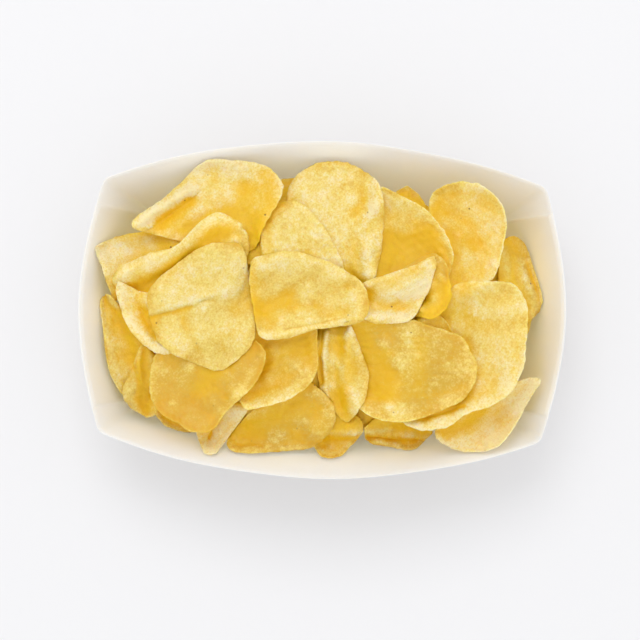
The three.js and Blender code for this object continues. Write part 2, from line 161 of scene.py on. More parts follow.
# The crisps that show, from the lowest to the topmost.
CRISPS = (
    Crisp("left_back", 10, 1, (
        -87.5, 1.5, -80.5, 4, -72.5, 10, -57, 24, -58, 30, -66.5, 32.5, -82.5, 31, -88.5, 29,
        -96.5, 24.5), pitch=-1, bank=-3, dish=(5, -4), lift=-1, twist=2, forms=(
            (0, 3.5, 3.5, 0.3, (-72, 19, -64, 23)),
            (0, 5, 6, -0.5, (-92, 24, -74, 27)),
            (0, 3.5, 3.5, 0.35, (-72, 17, -61, 22)),
            (-1.5, 4, 5, 0.05, (-73, 28, -64.5, 25.5, -58, 23)),
            (0.4, 1.2, 1.6, 0.3, (-93, 26, -82, 30.5, -70, 31.5)),
            (0.8, 5, 5, -0.15, (-91, 22, -84, 12)))),
    Crisp("left_wall", 102, 2, (
        -91, -20.5, -89.5, -28.5, -84.5, -37.5, -79, -39.5, -74, -34.5, -71.5, -27, -72, -19,
        -79.5, -6, -88.5, 4.5, -91.5, 5, -94, 2.5), bank=2, dish=(-6, 3), lift=-4, tone=0.05,
        forms=(
            (0, 3, 3, 0.4, (-84, -8, -78, -16, -72, -20)),
            (-1, 4, 4, 0.25, (-84, -6, -80.5, -16, -80, -22)),
            (0.6, 2, 3, -0.12, (-90.5, 0, -90, -14, -87, -27)))),
    Crisp("left_low", 110, 3, (
        -76, -16.5, -83.5, -35, -83.5, -39, -80.5, -43.5, -73.5, -47.5, -70, -46.5, -66.5, -40,
        -65.5, -31, -67.5, -22.5, -72, -17), bank=4, dish=(2, -3), lift=-8, tone=0.05, forms=(
            (0, 3, 3, 0.5, (-76, -24, -76, -40)),
            (2.5, 2.5, 2.5, -0.25, (-77, -19, -78.5, -28, -80, -35.5)),
            (-2.2, 2.5, 3, 0.5, (-74.5, -19, -73.5, -27.5, -73.5, -39.5, -74, -45.5)))),
    Crisp("front_left_under", -20, 4, (
        -70.5, -39.5, -69.5, -46, -65.5, -50.5, -60, -52.5, -54.5, -53, -48.5, -50, -48, -39.5,
        -54.5, -33, -63, -31.5, -69, -34.5), bank=4, dish=(4, 4), lift=-10, tone=0.2, mottle=1.4),
    Crisp("front_small", -60, 6, (
        0.5, -61.5, 4.5, -62.5, 9.5, -61.5, 16, -54.5, 18.5, -50.5, 18, -46, 13.5, -42, 7.5,
        -42, 2, -45.5, -2, -51.5, -2.5, -57.5), dish=(4, 4), lift=-7, tone=0.1, mottle=1.6, forms=(
            (0, 3, 3, -0.3, (4, -58, 12, -56)),
            (0, 4, 4, 0.55, (1, -50, 15, -46)),
            (-0.8, 4, 4, 0.25, (6, -47, 13, -46)))),
    Crisp("front_double_rim", 0, 8, (
        18.5, -49, 19.5, -54, 22, -56, 38, -58.5, 41.5, -57.5, 48, -51, 47, -47, 40, -44,
        31.5, -43, 23, -44.5), bank=2, dish=(3, 3), lift=-7, tone=0.18, mottle=1.3, forms=(
            (0, 3, 3, -0.4, (26, -52, 40, -53)),
            (0, 3, 3, 0.6, (22, -47, 44, -47)),
            (1, 2.5, 2.5, -0.35, (28, -50, 38, -51.5)),
            (-1.2, 1, 1, 0.35, (20.5, -53, 32, -54, 44, -54)),
            (0.8, 1, 1, -0.2, (22, -55, 34, -56.5)))),
    Crisp("right_front_lip", 31, 9, (
        48, -52, 51.5, -55, 56.5, -57.5, 62, -58.5, 69.5, -58, 75, -56, 83.5, -44.5, 90.5, -31,
        92.5, -29, 92, -26.5, 86.5, -26.5, 54.5, -42.5, 49, -47.5), pitch=-2, bank=-1,
        dish=(4, 5), lift=2, tone=-0.22, mottle=0.7, lips=((-45, 7, 50, 0.4),), forms=(
            (0, 4, 4, 0.3, (50, -50, 60, -47, 66, -44)),
            (0, 6, 6, -0.45, (86, -34, 76, -45, 67, -54)),
            (2.2, 7, 3, -0.22, (90, -29, 82, -41, 72, -54.5)),
            (-1.5, 5, 4, 0.25, (53, -49, 61, -46.5, 68, -42)))),
    Crisp("right_wall", 99, 10, (
        74, 23.5, 73.5, 13.5, 75.5, 4, 80, -3.5, 86, -4.5, 92.5, 1, 94, 6.5, 92.5, 11.5,
        86.5, 30, 84, 33, 80, 33.5, 76, 31), bank=7, dish=(-6, -3), lift=-5, tone=0.22, mottle=0.7,
        forms=(
            (0, 3, 3, 0.2, (81, 24, 82, 16)),
            (0.6, 2, 2, -0.15, (92, 9, 91, 1, 86, -3)))),
    Crisp("back_hidden", 95, 11, (
        27.5, 40.5, 32, 34.5, 38.5, 33.5, 43, 38.5, 42.5, 46, 40, 49.5, 35, 53.5, 30.5, 51,
        28.5, 48.5), dish=(3, 3), lift=-6, tone=0.1),
    Crisp("back_right", 98, 13, (
        44, 42, 45.5, 35.5, 50, 17, 52, 9, 60, 8, 66.5, 12, 71.5, 14.5, 73.5, 19,
        76.5, 33, 77, 38.5, 76, 43.5, 73.5, 48, 65.5, 54, 58.5, 55, 51.5, 53.5, 47, 51,
        44.5, 47), lift=4, bank=-6, dish=(6, 6), mottle=0.7,
        lips=((80, 4, 50, 0.55), (0, 4, 60, 0.45)), forms=(
            (0, 4, 4, -0.3, (66, 48, 74, 34)),
            (0, 2.5, 2.5, 0.3, (46, 42, 47, 36, 50, 28)),
            (0, 3.5, 3.5, 0.25, (60, 37, 68, 38)),
            (-2, 5, 5, 0.42, (54.5, 16, 54, 23, 51.5, 30)),
            (-1, 4, 4, 0.25, (55, 33, 64, 29.5)),
            (-0.8, 3.5, 3.5, 0.3, (47.5, 46, 50.5, 42)),
            (0.9, 4.5, 4.5, -0.1, (62, 43, 68, 37)),
            (0.6, 1.4, 1.4, -0.2, (51, 51.5, 58.5, 53, 66, 52)),
            (0.3, 3, 3, -0.2, (73, 38, 72, 24, 70, 17)))),
    Crisp("centre_under", 100, 15, (
        -27, 30, -24, 15, -14, 11, -3, 16, 0, 30, -3, 44, -12, 49, -23, 44), bank=-4,
        dish=(2, 3), tone=0.2),
    Crisp("back_bowl", -46, 14, (
        21, 43.5, 19, 32, 19, 20, 22, 13, 31.5, 10, 40, 10, 48.5, 11, 53, 17,
        54.5, 24.5, 53, 29.5, 50.5, 34.5, 42.5, 44, 23, 53.5), lift=4, pitch=-4, bank=7,
        dish=(5, 8), tone=0.08, forms=(
            (0, 6, 6, 0.4, (26, 30, 30, 20, 44, 22)),
            (0, 6, 6, 0.6, (27, 24, 34, 22, 42, 34)),
            (-2.2, 8, 8, 0.5, (26, 20, 34.5, 26, 44, 28)),
            (0.4, 5, 5, -0.15, (26, 49, 40, 42.5, 50, 32)),
            (0.6, 3.5, 3.5, -0.2, (36, 33.5, 40, 33.5)))),
    Crisp("back_centre", 105, 16, (
        -14.5, 36.5, -10, 29, -2, 22.5, 7, 16, 17.5, 10.5, 21, 11, 24, 24, 25, 38.5,
        24.5, 44.5, 23.5, 50, 22, 54, 18.5, 57.5, 8.5, 62.5, 3, 62.5, -4, 61.5, -9, 58.5,
        -13, 55, -15.5, 49.5, -16, 44), lift=5, pitch=2, dish=(-5, -3), twist=2, tone=-0.02,
        mottle=1.35, forms=(
            (0, 2.5, 2.5, 0.15, (22, 53, 24, 44, 23.5, 30)),
            (0, 3, 3, 0.3, (8, 27, 14, 24)),
            (0.4, 1, 1.3, 0.25, (-8, 59, 0, 61.5, 9, 61.5, 18, 57)),
            (-0.5, 4, 4, 0.18, (12, 40, 18, 36)),
            (0.6, 2.2, 2.2, -0.2, (11, 46, 13, 45)),
            (0.5, 2.5, 2.5, -0.2, (7, 29, 9, 27)),
            (0.6, 3, 3, -0.15, (13, 56, 16, 55)))),
    Crisp("centre_back", -42, 17, (
        -21.5, 43, -24.5, 39, -26.5, 33, -26, 27.5, -25, 21.5, -20, 15, -9.5, 11, 2.5, 10.5,
        9.5, 14.5, 8, 20.5, 0.5, 34, -4, 39.5, -8.5, 43.5, -13, 45.5, -18, 45), dish=(-4, -5),
        twist=-2, tone=0.03, forms=(
            (0, 4, 4, 0.35, (-23, 37, -22, 24, -16, 16)),
            (0.5, 3, 3, -0.15, (-20, 36, -19, 26)),
            (-0.6, 4, 4, 0.2, (-8, 27, -2, 24)))),
    Crisp("back_long", 18, 18, (
        -44, 23.5, -35, 22, -28, 24, -24.5, 35, -18, 46, -17, 50.5, -18.5, 54.5, -21.5, 58,
        -26, 60.5, -36, 62, -47.5, 62.5, -52.5, 60.5, -68, 45, -79, 37.5, -81, 32.5),
        lift=3, pitch=1, bank=2, dish=(3, -5), tone=-0.08, lips=((60, 5, 60, 0.45),), forms=(
            (0, 4, 4, -0.3, (-54, 57, -42, 59)),
            (0, 3, 3, 0.4, (-50, 33, -40, 37)),
            (0, 4, 4, 0.4, (-58, 34, -48, 37, -38, 40)),
            (0, 3.5, 3.5, 0.3, (-64, 31, -50, 33.5, -40, 38, -43, 46)),
            (-0.5, 5, 5, 0.5, (-22.5, 56, -23, 42, -27, 28)),
            (3, 2.5, 3, -0.2, (-80, 33.5, -73, 38.5, -66, 43, -57, 48.5)),
            (-2.5, 2.5, 4, 0.5, (-69, 35.5, -62, 40.5, -57, 45)),
            (-2.2, 5, 5, 0.45, (-33, 49, -32.5, 41.5, -29, 32, -27.5, 24)),
            (0.7, 5, 5, -0.12, (-54, 52, -44, 57)))),
    Crisp("right_big", 64, 24, (
        46, 2.5, 42, -5.5, 38, -16, 32.5, -39, 35, -46, 40, -48.5, 45, -49.5, 55.5, -47,
        59.5, -43, 64.5, -40.5, 70.5, -39, 77, -35.5, 81, -31.5, 83.5, -25.5, 85.5, -19.5,
        86, 2.5, 84, 8, 80.5, 12, 76, 13.5, 69.5, 13.5, 55.5, 12.5), lift=4, pitch=2,
        bank=-4, dish=(4, 6), tone=-0.03, mottle=0.8,
        lips=((-20, 5, 55, 0.5), (-110, 5, 40, 0.55)), forms=(
            (0, 4, 4, 0.25, (60, -1, 68, -8)),
            (0, 5, 5, -0.42, (73, -12, 72, -30)),
            (-1.6, 5, 6, 0.45, (47, -4, 51, 4.5, 58, 9)),
            (0.9, 3, 2, -0.25, (42, -47.5, 55, -45, 62, -40, 72, -36.5, 80, -28.5)),
            (-1, 1, 1, 0.4, (42.5, -44.5, 50, -42.5, 61, -39)),
            (-0.4, 4, 4, 0.05, (70, -7, 79, -10)))),
    Crisp("right_hidden", 40, 12, (
        32, -14, 36.5, -24.5, 46, -28.5, 54.5, -25, 57.5, -15.5, 54, -7, 51, -3, 47, 0,
        42, 1, 36, -1.5), dish=(5, 4), tone=0.4),
    Crisp("front_right_big", -12, 25, (
        11.5, -14.5, 11, -23, 12.5, -32.5, 15, -39.5, 19.5, -43.5, 24.5, -45.5, 31.5, -46.5,
        39, -46, 58, -38, 61.5, -34.5, 64, -30.5, 65.5, -25.5, 65, -21, 59, -10, 39.5, -4,
        28.5, -3, 16.5, -2.5, 13, -4), lift=3, pitch=4, bank=-3, dish=(4, 6), twist=-2,
        tone=0.3, mottle=1.3, lips=((-100, 4, 50, 0.55),), forms=(
            (0, 3, 3, 0.4, (14, -6, 22, -5)),
            (0, 4, 4, 0.35, (41, -12, 41, -30)),
            (0, 4, 4, -0.2, (58, -20, 57, -31)),
            (0, 6, 6, 0.45, (26, -19, 30, -29, 27, -36)),
            (-1.5, 5, 5, 0.5, (17, -12, 15.5, -20.5, 17.5, -31)),
            (0.5, 2.2, 2.2, -0.3, (25.5, -13, 27, -13.5)),
            (0.5, 2.4, 2.4, -0.3, (31.5, -21, 33, -21)),
            (0.7, 4, 4, -0.25, (20, -40, 38, -42.5, 56, -36)),
            (-0.6, 3, 3, 0.2, (26, -35, 45, -36, 60, -31)),
            (0.2, 3, 3, -0.12, (62, -30, 62, -22, 57, -12)))),
    Crisp("front_upright", 85, 20, (
        -3, -13.5, -3, -20, -0.5, -33.5, 2, -38, 8.5, -45.5, 11.5, -47, 18, -38, 19.5, -31.5,
        20, -25.5, 15.5, -14, 11, -4, 6.5, -2, -2.5, -3), pitch=0, bank=-6,
        dish=(-4, -3), tone=0.02, mottle=0.8, forms=(
            (0, 3.5, 3.5, 0.45, (9, -14, 12, -25, 9, -38)),
            (0.9, 0.9, 0.9, 0, (2, -9, 1.5, -19, 1.5, -29.5, 3, -36)),
            (-1.2, 1.2, 1.2, 0.8, (0, -9, -0.8, -19, 0.5, -30)),
            (-1.2, 4, 4, 0.35, (7, -35, 9, -43)))),
    Crisp("front_dome", 3, 7, (
        -37.5, -60.5, -31, -61.5, -4, -59, 1, -55.5, 5, -50.5, 7, -45.5, 6, -40, 2, -35,
        -4, -30, -10.5, -31.5, -20, -38, -29.5, -43.5, -39.5, -55.5), bank=2,
        dish=(-6, -5), lift=-1, tone=0.32, mottle=1.8, forms=(
            (0, 5, 5, 0.3, (-30, -50, -14, -46)),
            (0, 5, 5, 0.3, (-12, -40, -2, -42, 0, -50)),
            (0.5, 1.2, 1.2, -0.2, (-36, -59.5, -20, -60, -6, -58)),
            (-0.8, 3, 3, 0.25, (-30, -49, -20, -44, -8, -39)))),
    Crisp("front_spike", 64, 5, (
        -29.5, -42, -32.5, -39.5, -38, -39.5, -45.5, -44, -51, -49, -52, -53, -48.5, -61,
        -45.5, -62, -43, -61), pitch=2, dish=(2, 3), lift=-2, tone=-0.2, mottle=0.6, forms=(
            (0, 4, 4, -0.55, (-46, -57, -40, -46)),
            (-1.1, 0.9, 0.9, 0.6, (-46.5, -55, -44.5, -49.5, -40.5, -44)),
            (1, 2, 2, -0.15, (-45, -58, -41, -50, -35, -42)))),
    Crisp("front_cup", 30, 21, (
        -31, -17.5, -34.5, -27, -34.5, -36.5, -30.5, -42.5, -13, -37.5, -6.5, -33, -2.5,
        -28.5, -1, -23.5, -2, -5, -7, -3, -23.5, -6, -30, -9), lift=1, dish=(4, 4), tone=0.12,
        lips=((-85, 7, 55, 0.35),), forms=(
            (0, 5, 5, 0.3, (-26, -16, -10, -12)),
            (0, 4, 4, 0.35, (-5, -12, -4, -27)),
            (1.2, 3.5, 2.5, -0.5, (-31, -40.5, -22, -38.5, -12, -34.5, -5, -29)),
            (-1.5, 5, 5, 0.3, (-24.5, -25, -15, -20, -8, -15)))),
    Crisp("left_ridge", 24, 19, (
        -88, 9, -85, 6, -76.5, 2, -64, 0.5, -49, 3, -37, 9.5, -31.5, 18, -30.5, 25.5,
        -31.5, 31, -34, 35, -43, 40.5, -47, 39.5, -51, 36.5, -59.5, 27, -64.5, 24, -71, 23,
        -85, 16.5, -88, 12.5), lift=3, pitch=1, bank=4, dish=(-3, 4), tone=-0.02, mottle=0.5,
        forms=(
            (0, 4, 4, 0.35, (-74, 13, -66, 16)),
            (0, 3, 3, 0.5, (-52, 30, -46, 32, -38, 34)),
            (0, 4, 4, 0.4, (-60, 18, -50, 23, -44, 30)),
            (0, 3, 3, 0.3, (-68, 8, -60, 11)),
            (4.5, 3, 6, -0.22, (-85, 13, -72.5, 19.5, -62.5, 24, -56, 30.5, -49.5, 36,
                                -43, 38, -36, 34)),
            (-1.8, 3, 4, 0.42, (-79, 6.5, -72.5, 9, -66.5, 13.5, -60, 18.5, -52, 25,
                                -45.5, 28.5, -39, 31, -35, 31)),
            (0.5, 1.5, 1.5, -0.15, (-32, 29, -31.5, 22, -32.5, 17)))),
    Crisp("front_left_bowl", 16, 22, (
        -69, -19.5, -71, -25, -71.5, -31.5, -71, -38.5, -69, -42.5, -64.5, -46.5, -59.5,
        -48.5, -55, -52, -47.5, -52.5, -44.5, -51.5, -39.5, -43.5, -27.5, -31.5, -24, -24.5,
        -23, -19, -25, -14.5, -31, -12, -42, -12, -54, -13.5, -63.5, -16), lift=2, pitch=-3,
        dish=(4, 3), tone=0.4, mottle=0.5, lips=((-12, 8, 45, 0.35), (-100, 3, 60, 0.55)),
        forms=(
            (0, 5, 5, -0.25, (-46, -46, -58, -44)),
            (0, 3, 3, 0.3, (-45, -25, -34, -18)),
            (0.6, 2.5, 2, -0.45, (-25, -20, -31, -31.5, -41, -43)),
            (-2.4, 6, 7, 0.4, (-40, -22, -46.5, -29.5, -49, -34)))),
    Crisp("left_small", -52, 23, (
        -86.5, 6.5, -85.5, 2.5, -83, -5, -80, -10.5, -74.5, -16, -69, -19.5, -63.5, -20,
        -59.5, -18, -59.5, -9.5, -64, 0.5, -71.5, 5.5, -76, 6, -85.5, 10.5), lift=2,
        dish=(4, 3), tone=-0.08, forms=(
            (1.4, 3, 2, -0.2, (-84, 5, -81, -5, -75, -13, -66, -18)),
            (-1.3, 2.5, 2.5, 0.32, (-77, 3, -73.5, -6, -68, -13)))),
    Crisp("centre_right_under", 40, 26, (
        41.5, 23.5, 26, 13, 24, 6, 28.5, 0, 36, -1.5, 46, -3, 51, 1, 53.5, 7, 52.5, 12.5,
        52, 17.5, 50, 22, 46.5, 24.5), dish=(3, 4), tone=0.26, lips=((0, 3, 60, 0.45),),
        forms=((0, 4, 4, 0.8, (44, -2, 50, 2, 53, 10)),)),
    Crisp("left_big", 78, 27, (
        -73.5, 2.5, -70.5, -9, -67, -15.5, -61.5, -19.5, -45.5, -26, -40, -26, -30, -17.5,
        -27.5, -12.5, -27, -5, -32.5, 25, -35, 27.5, -40, 27.5, -47, 26.5, -52, 24.5,
        -67.5, 13, -72, 7.5), lift=4, pitch=-2, bank=2, dish=(-6, -2), twist=2, tone=0.01,
        mottle=0.8, forms=(
            (0, 3, 3, -0.35, (-33, 16, -32, 4)),
            (0, 4, 4, 0.2, (-41, -12, -34, -10)),
            (1.8, 9, 0.9, -0.05, (-73, -3, -63, -0.5, -52.5, 2.5)),
            (-0.5, 0.7, 1.4, 0.35, (-71, -4.5, -62.5, -2, -53.5, 0.8)),
            (-0.3, 2, 2, 0.15, (-58, -5, -54.5, -12, -50.5, -18)),
            (0.3, 1.5, 1.5, -0.15, (-33.5, 23, -30, 8, -28.5, -6)),
            (0.3, 4, 4, -0.1, (-64, 8, -50, 16)))),
    Crisp("centre_leaf", 36, 28, (
        38.5, 19.5, 16, 11.5, 14, 3.5, 17, -3.5, 23, -5.5, 35, -4.5, 38.5, -2, 44.5, 10,
        47, 19.5, 46, 24), lift=3, dish=(4, 3), tone=-0.12, mottle=0.8, forms=(
            (0, 4, 4, -0.35, (18, 2, 30, 2, 40, 10)),
            (-1, 3, 4, 0.3, (17, 8.5, 29, 12.5, 39, 17.5)),
            (0.6, 3, 3, -0.15, (24, -3.5, 35, -1.5, 42, 8, 45, 18)))),
    Crisp("centre_top", 4, 29, (
        -30.5, 12, -29.5, 4.5, -26.5, -10, -24, -13.5, -13.5, -12, -2, -8, 12.5, -6,
        17.5, -4, 19.5, 1, 19, 6, 17.5, 10, 14.5, 13.5, 3, 20, -11, 24, -17.5, 24,
        -30, 20.5), lift=3, dish=(3, 2), tone=0.08, mottle=0.8, forms=(
            (0, 2.5, 2.5, 0.35, (-29.5, 18, -29, 4)),
            (0, 5, 5, 0.35, (-27, 1, -8, 2)),
            (0, 4, 5, -0.3, (-6, 6, 12, 6)),
            (0, 4, 5, 0.35, (-26, -2, -20, -6)),
            (2.5, 4, 5, -0.2, (-26, 19.5, -9.5, 20.5, 8, 15.5)),
            (-1.8, 6, 6, 0, (-27, 3, -16, 3)),
            (2.2, 3, 2, -0.3, (-23, -12, -9, -9, 8, -5)),
            (-0.5, 0.6, 0.6, 0.3, (-15, -8.5, -3, -6, 10, -3.2)))),
)

# Crisps underneath, which only show in the gaps: rings of them round the heap's middle.
UNDER_RINGS = ((3, 30, 16, -2), (8, 58, 32, -2.5), (13, 70, 37, -6))  # count, radii, lift
UNDER_SIZE = (42, 33)  # length and width of one
UNDER_LEAST, UNDER_SPARE = 0.85, 0.3  # least share of that size, and what a draw may add
UNDER_SHIFT = 0.6  # how far one may move on, as a share of the space between two
UNDER_TURN = 50  # range of headings, in degrees
UNDER_DISH, UNDER_DISH_SPARE = (-2, -1), 4  # least dish, and what a draw may add
UNDER_SEED = 60  # seed of the first
UNDER_CORNERS = 16  # corners of an outline
UNDER_TONE = 0.05

# ---- The studio ----
CAMERA_AT = (-0.75, -4.2)  # the tray's point under the middle of the picture
CAMERA_HEIGHT = 1000  # above the rim's corners
PICTURE_SIDE = 269  # what the picture spans at that height
CAMERA_TURN = 1.25  # degrees
CAMERA_FAR = 50  # how far it sees, in metres
SENSOR = 36  # width of its sensor
FLOOR_SIDE = 8000
KEY_AT, KEY_SIDE = (-350, 1600, 2400), 1500  # place and side of the square lamp


# ---- Small helpers ----
def mix(a, b, t):
    """The point at share t of the way from a to b."""
    return a + (b - a) * t


def ease(t):
    """0 below 0, 1 above 1, and 3t² - 2t³ between."""
    t = np.clip(t, 0, 1)
    return t * t * (3 - 2 * t)


def rotate(x, y, degrees):
    """The point turned anticlockwise about the origin."""
    cos, sin = math.cos(math.radians(degrees)), math.sin(math.radians(degrees))
    return x * cos - y * sin, x * sin + y * cos


def superellipse(count, power):
    """A unit superellipse at evenly spaced headings: the reach, and the headings' cosine and
    sine."""
    a = np.linspace(0, TAU, count, endpoint=False)
    cos, sin = np.cos(a), np.sin(a)
    return (np.abs(cos) ** power + np.abs(sin) ** power) ** (-1 / power), cos, sin


def draw(seed, k):
    """A repeatable draw from 0 to 1: the fraction left by a large sine."""
    v = np.sin(seed * 12.9898 + k * 78.233) * 43758.5453
    return v - np.floor(v)


def linear(code):
    """A six-digit sRGB hex colour as linear red, green, blue and alpha."""
    parts = [int(code[i:i + 2], 16) / 255 for i in (0, 2, 4)]
    bent = [((c + 0.055) / 1.055) ** 2.4 if c > 0.04045 else c / 12.92 for c in parts]
    return (*bent, 1)


# ---- Meshes ----
def add_piece(name, points, faces, material, node=None, attributes=()):
    """Makes a piece from points in millimetres and faces given as arrays of corners."""
    mesh = bpy.data.meshes.new(name)
    mesh.vertices.add(len(points))
    mesh.vertices.foreach_set("co", np.ascontiguousarray(points * MM, np.float32).ravel())
    corners = np.concatenate([f.ravel() for f in faces]).astype(np.int32)
    sizes = np.concatenate([np.full(len(f), f.shape[1]) for f in faces])
    mesh.loops.add(len(corners))
    mesh.loops.foreach_set("vertex_index", corners)
    mesh.polygons.add(len(sizes))
    starts = np.concatenate([[0], np.cumsum(sizes)[:-1]]).astype(np.int32)
    mesh.polygons.foreach_set("loop_start", starts)
    mesh.polygons.foreach_set("use_smooth", np.ones(len(sizes), bool))
    mesh.update(calc_edges=True)
    if mesh.validate():
        raise RuntimeError(f"{name}: the mesh has faults")
    for label, values in attributes:
        kind = "FLOAT_VECTOR" if values.ndim == 2 else "FLOAT"
        field = "vector" if values.ndim == 2 else "value"
        store = mesh.attributes.new(label, kind, "POINT")
        store.data.foreach_set(field, np.ascontiguousarray(values, np.float32).ravel())
    mesh.materials.append(material)
    piece = bpy.data.objects.new(name, mesh)
    bpy.context.scene.collection.objects.link(piece)
    if node:
        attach(piece, "root")
        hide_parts(node)
    return piece


def ring_faces(rows, columns):
    """Quads between closed rings of equal length, facing left of the way the rings run."""
    a = np.arange(rows - 1)[:, None] * columns + np.arange(columns)
    b = np.roll(a, -1, axis=1)
    return np.stack([a, b, b + columns, a + columns], -1).reshape(-1, 4)


def fan(ring, centre, flip):
    """Triangles from a ring's points to one centre point."""
    after = np.roll(ring, -1)
    pair = (after, ring) if flip else (ring, after)
    return np.stack([np.full(len(ring), centre), *pair], -1)


# ---- Tray ----
def long_wall(s, h, inset):
    """s runs -1 to 1 along the wall, h 0 to 1 up it. The foot is straight, the rim's bulge and
    rise follow 1 - s², and every point moves from foot to rim in a straight line."""
    arch = 1 - s * s
    x = s * (mix(FLOOR_X, CORNER_X, h) - inset)
    y = mix(FLOOR_Y, CORNER_Y + BULGE_Y * arch, h) - inset
    return np.stack([x, y, (CORNER_Z + RISE_Y * arch) * h], -1)


def end_wall(s, h, inset):
    """The same for the wall across an end, with x and y changed over."""
    arch = 1 - s * s
    x = mix(FLOOR_X, CORNER_X + BULGE_X * arch, h) - inset
    y = s * (mix(FLOOR_Y, CORNER_Y, h) - inset)
    return np.stack([x, y, (CORNER_Z + RISE_X * arch) * h], -1)


def bend(a, b, c, t):
    """A quadratic curve from a to c that leaves and arrives along the lines to b."""
    return (1 - t) ** 2 * a + 2 * t * (1 - t) * b + t * t * c


def tray_ring(h, inset, panel, lift):
    """The tray's outline at height share h, anticlockwise from above. Half of it is an end
    wall, a corner, a long wall and a corner, and the other half is that half turned round.
    inset moves it inwards, panel moves the end panel in again between its cut edges, and lift
    raises the foot."""
    radius = mix(ROUND_FOOT, ROUND_RIM, h)
    end_reach = 1 - radius / mix(FLOOR_Y, CORNER_Y, h)
    long_reach = 1 - radius / mix(FLOOR_X, CORNER_X, h)
    edge = mix(PANEL_FOOT, PANEL_RIM, h) / mix(FLOOR_Y, CORNER_Y, h)
    outer = edge + STEP_RUN / FLOOR_Y
    flap = np.linspace(outer, end_reach, FLAP_COLUMNS, endpoint=False)[1:]
    step = np.linspace(edge, outer, STEP_COLUMNS)
    middle = np.linspace(-edge, edge, PANEL_COLUMNS)[1:-1]
    side = np.concatenate([-flap[::-1], -step[::-1], middle, step, flap])
    deep = inset + panel * ease((outer - np.abs(side)) / (outer - edge))
    end = end_wall(side, h, deep)
    long = long_wall(np.linspace(long_reach, -long_reach, LONG_COLUMNS), h, inset)
    t = np.linspace(0, 1, CORNER_COLUMNS)[:-1, None]
    tip = end_wall(np.ones(1), h, inset)
    first = bend(end_wall(np.array([end_reach]), h, inset), tip, long[:1], t)
    far = long_wall(-np.ones(1), h, inset)
    last = end_wall(np.array([-end_reach]), h, inset) * (-1, -1, 1)
    second = bend(long[-1:], far, last, np.linspace(0, 1, CORNER_COLUMNS)[1:, None])
    half = np.concatenate([end, first, long, second])
    ring = np.concatenate([half, half * (-1, -1, 1)])
    ring[:, 2] += lift * (1 - h)
    away = ring[:, :2] / np.linalg.norm(ring[:, :2], axis=1, keepdims=True)
    along = np.sin(ring[:, 0] * TAU / SAG_LENGTH + SAG_SHIFT)
    along += np.cos(ring[:, 1] * TAU / SAG_LENGTH)
    ring[:, :2] += away * (SAG * h * h * along)[:, None]
    return ring


def tray_side(inset, panel, lift):
    """One face of the board as rings from the floor's middle up to the rim: shrunk copies of
    the foot, a rounded fold, then the wall."""
    foot = tray_ring(0, inset, 0, lift)
    flat = [foot * (k, k, 1) for k in np.linspace(0, 1, FLOOR_ROWS, endpoint=False)[1:]]
    start = foot * (1 - CREASE / FLOOR_Y, 1 - CREASE / FLOOR_Y, 1)
    top = CREASE / CORNER_Z
    end = tray_ring(top, inset, panel, lift)
    fold = [bend(start, foot, end, t) for t in np.linspace(0, 1, CREASE_ROWS)[:-1]]
    walls = [tray_ring(h, inset, panel, lift) for h in np.linspace(top, 1, WALL_ROWS)]
    walls[-1] = tray_ring(1, min(inset, CUT_WALL), min(panel, CUT_WALL), lift)
    walls.insert(-1, tray_ring(NEAR_RIM, inset, panel, lift))
    return flat + fold + walls


def tray_mesh(board, wall, heap):
    """The outer face, the cut edge with its slight crown, and the inner face, as one closed
    skin. Returns too each point's share of painted warm bounce light: on the inner face it is
    painted where the heap hides the sky, and the cut edge takes a small even share."""
    outside = tray_side(0, 0, 0)
    inside = tray_side(wall, wall, board)
    cut = []
    for t in CUT_ROWS:
        row = mix(outside[-1], inside[-1], t)
        row[:, 2] += CUT_ROUND
        cut.append(row)
    rings = np.stack(outside + cut + inside[::-1])
    rows, columns = rings.shape[:2]
    count = rows * columns
    centres = np.array([[0, 0, 0], [0, 0, board]])
    points = np.concatenate([rings.reshape(-1, 3), centres])
    low = fan(np.arange(columns), count, True)
    high = fan(np.arange(count - columns, count), count + 1, False)
    # Painted warm bounce light on the inner face, from the sky that the heap hides.
    oil = np.clip(shelter(rings, heap, reaches=BOUNCE_REACH) / BOUNCE_FULL, 0, 1)
    oil[:len(outside)] = 0
    oil[len(outside):len(outside) + len(cut)] = EDGE_TINT
    oil = np.concatenate([oil.ravel(), [0, 1]])
    return points, (ring_faces(rows, columns), low, high), oil


# ---- One crisp ----
def disc_grid(n):
    """A square grid pressed into a disc, a√(1 - b²/2) by b√(1 - a²/2), with its lines crowded
    towards the rim by a sine."""
    g = np.sin(np.linspace(-1, 1, n) * CROWD * TAU / 4) / math.sin(CROWD * TAU / 4)
    a, b = np.meshgrid(g, g, indexing="ij")
    return a * np.sqrt(1 - b * b / 2), b * np.sqrt(1 - a * a / 2)


def waves(u, v, seed, first, count, length, height):
    """A sum of cosines in scattered directions, of about one length and height each."""
    k = first + np.arange(count)[:, None, None] * 3
    way = draw(seed, k) * TAU
    size = length * (WAVE_LEAST + WAVE_SPARE * draw(seed, k + 1))
    phase = draw(seed, k + 2) * TAU
    run = u * np.cos(way) + v * np.sin(way)
    return height * np.cos(run * TAU / size + phase).sum(0)


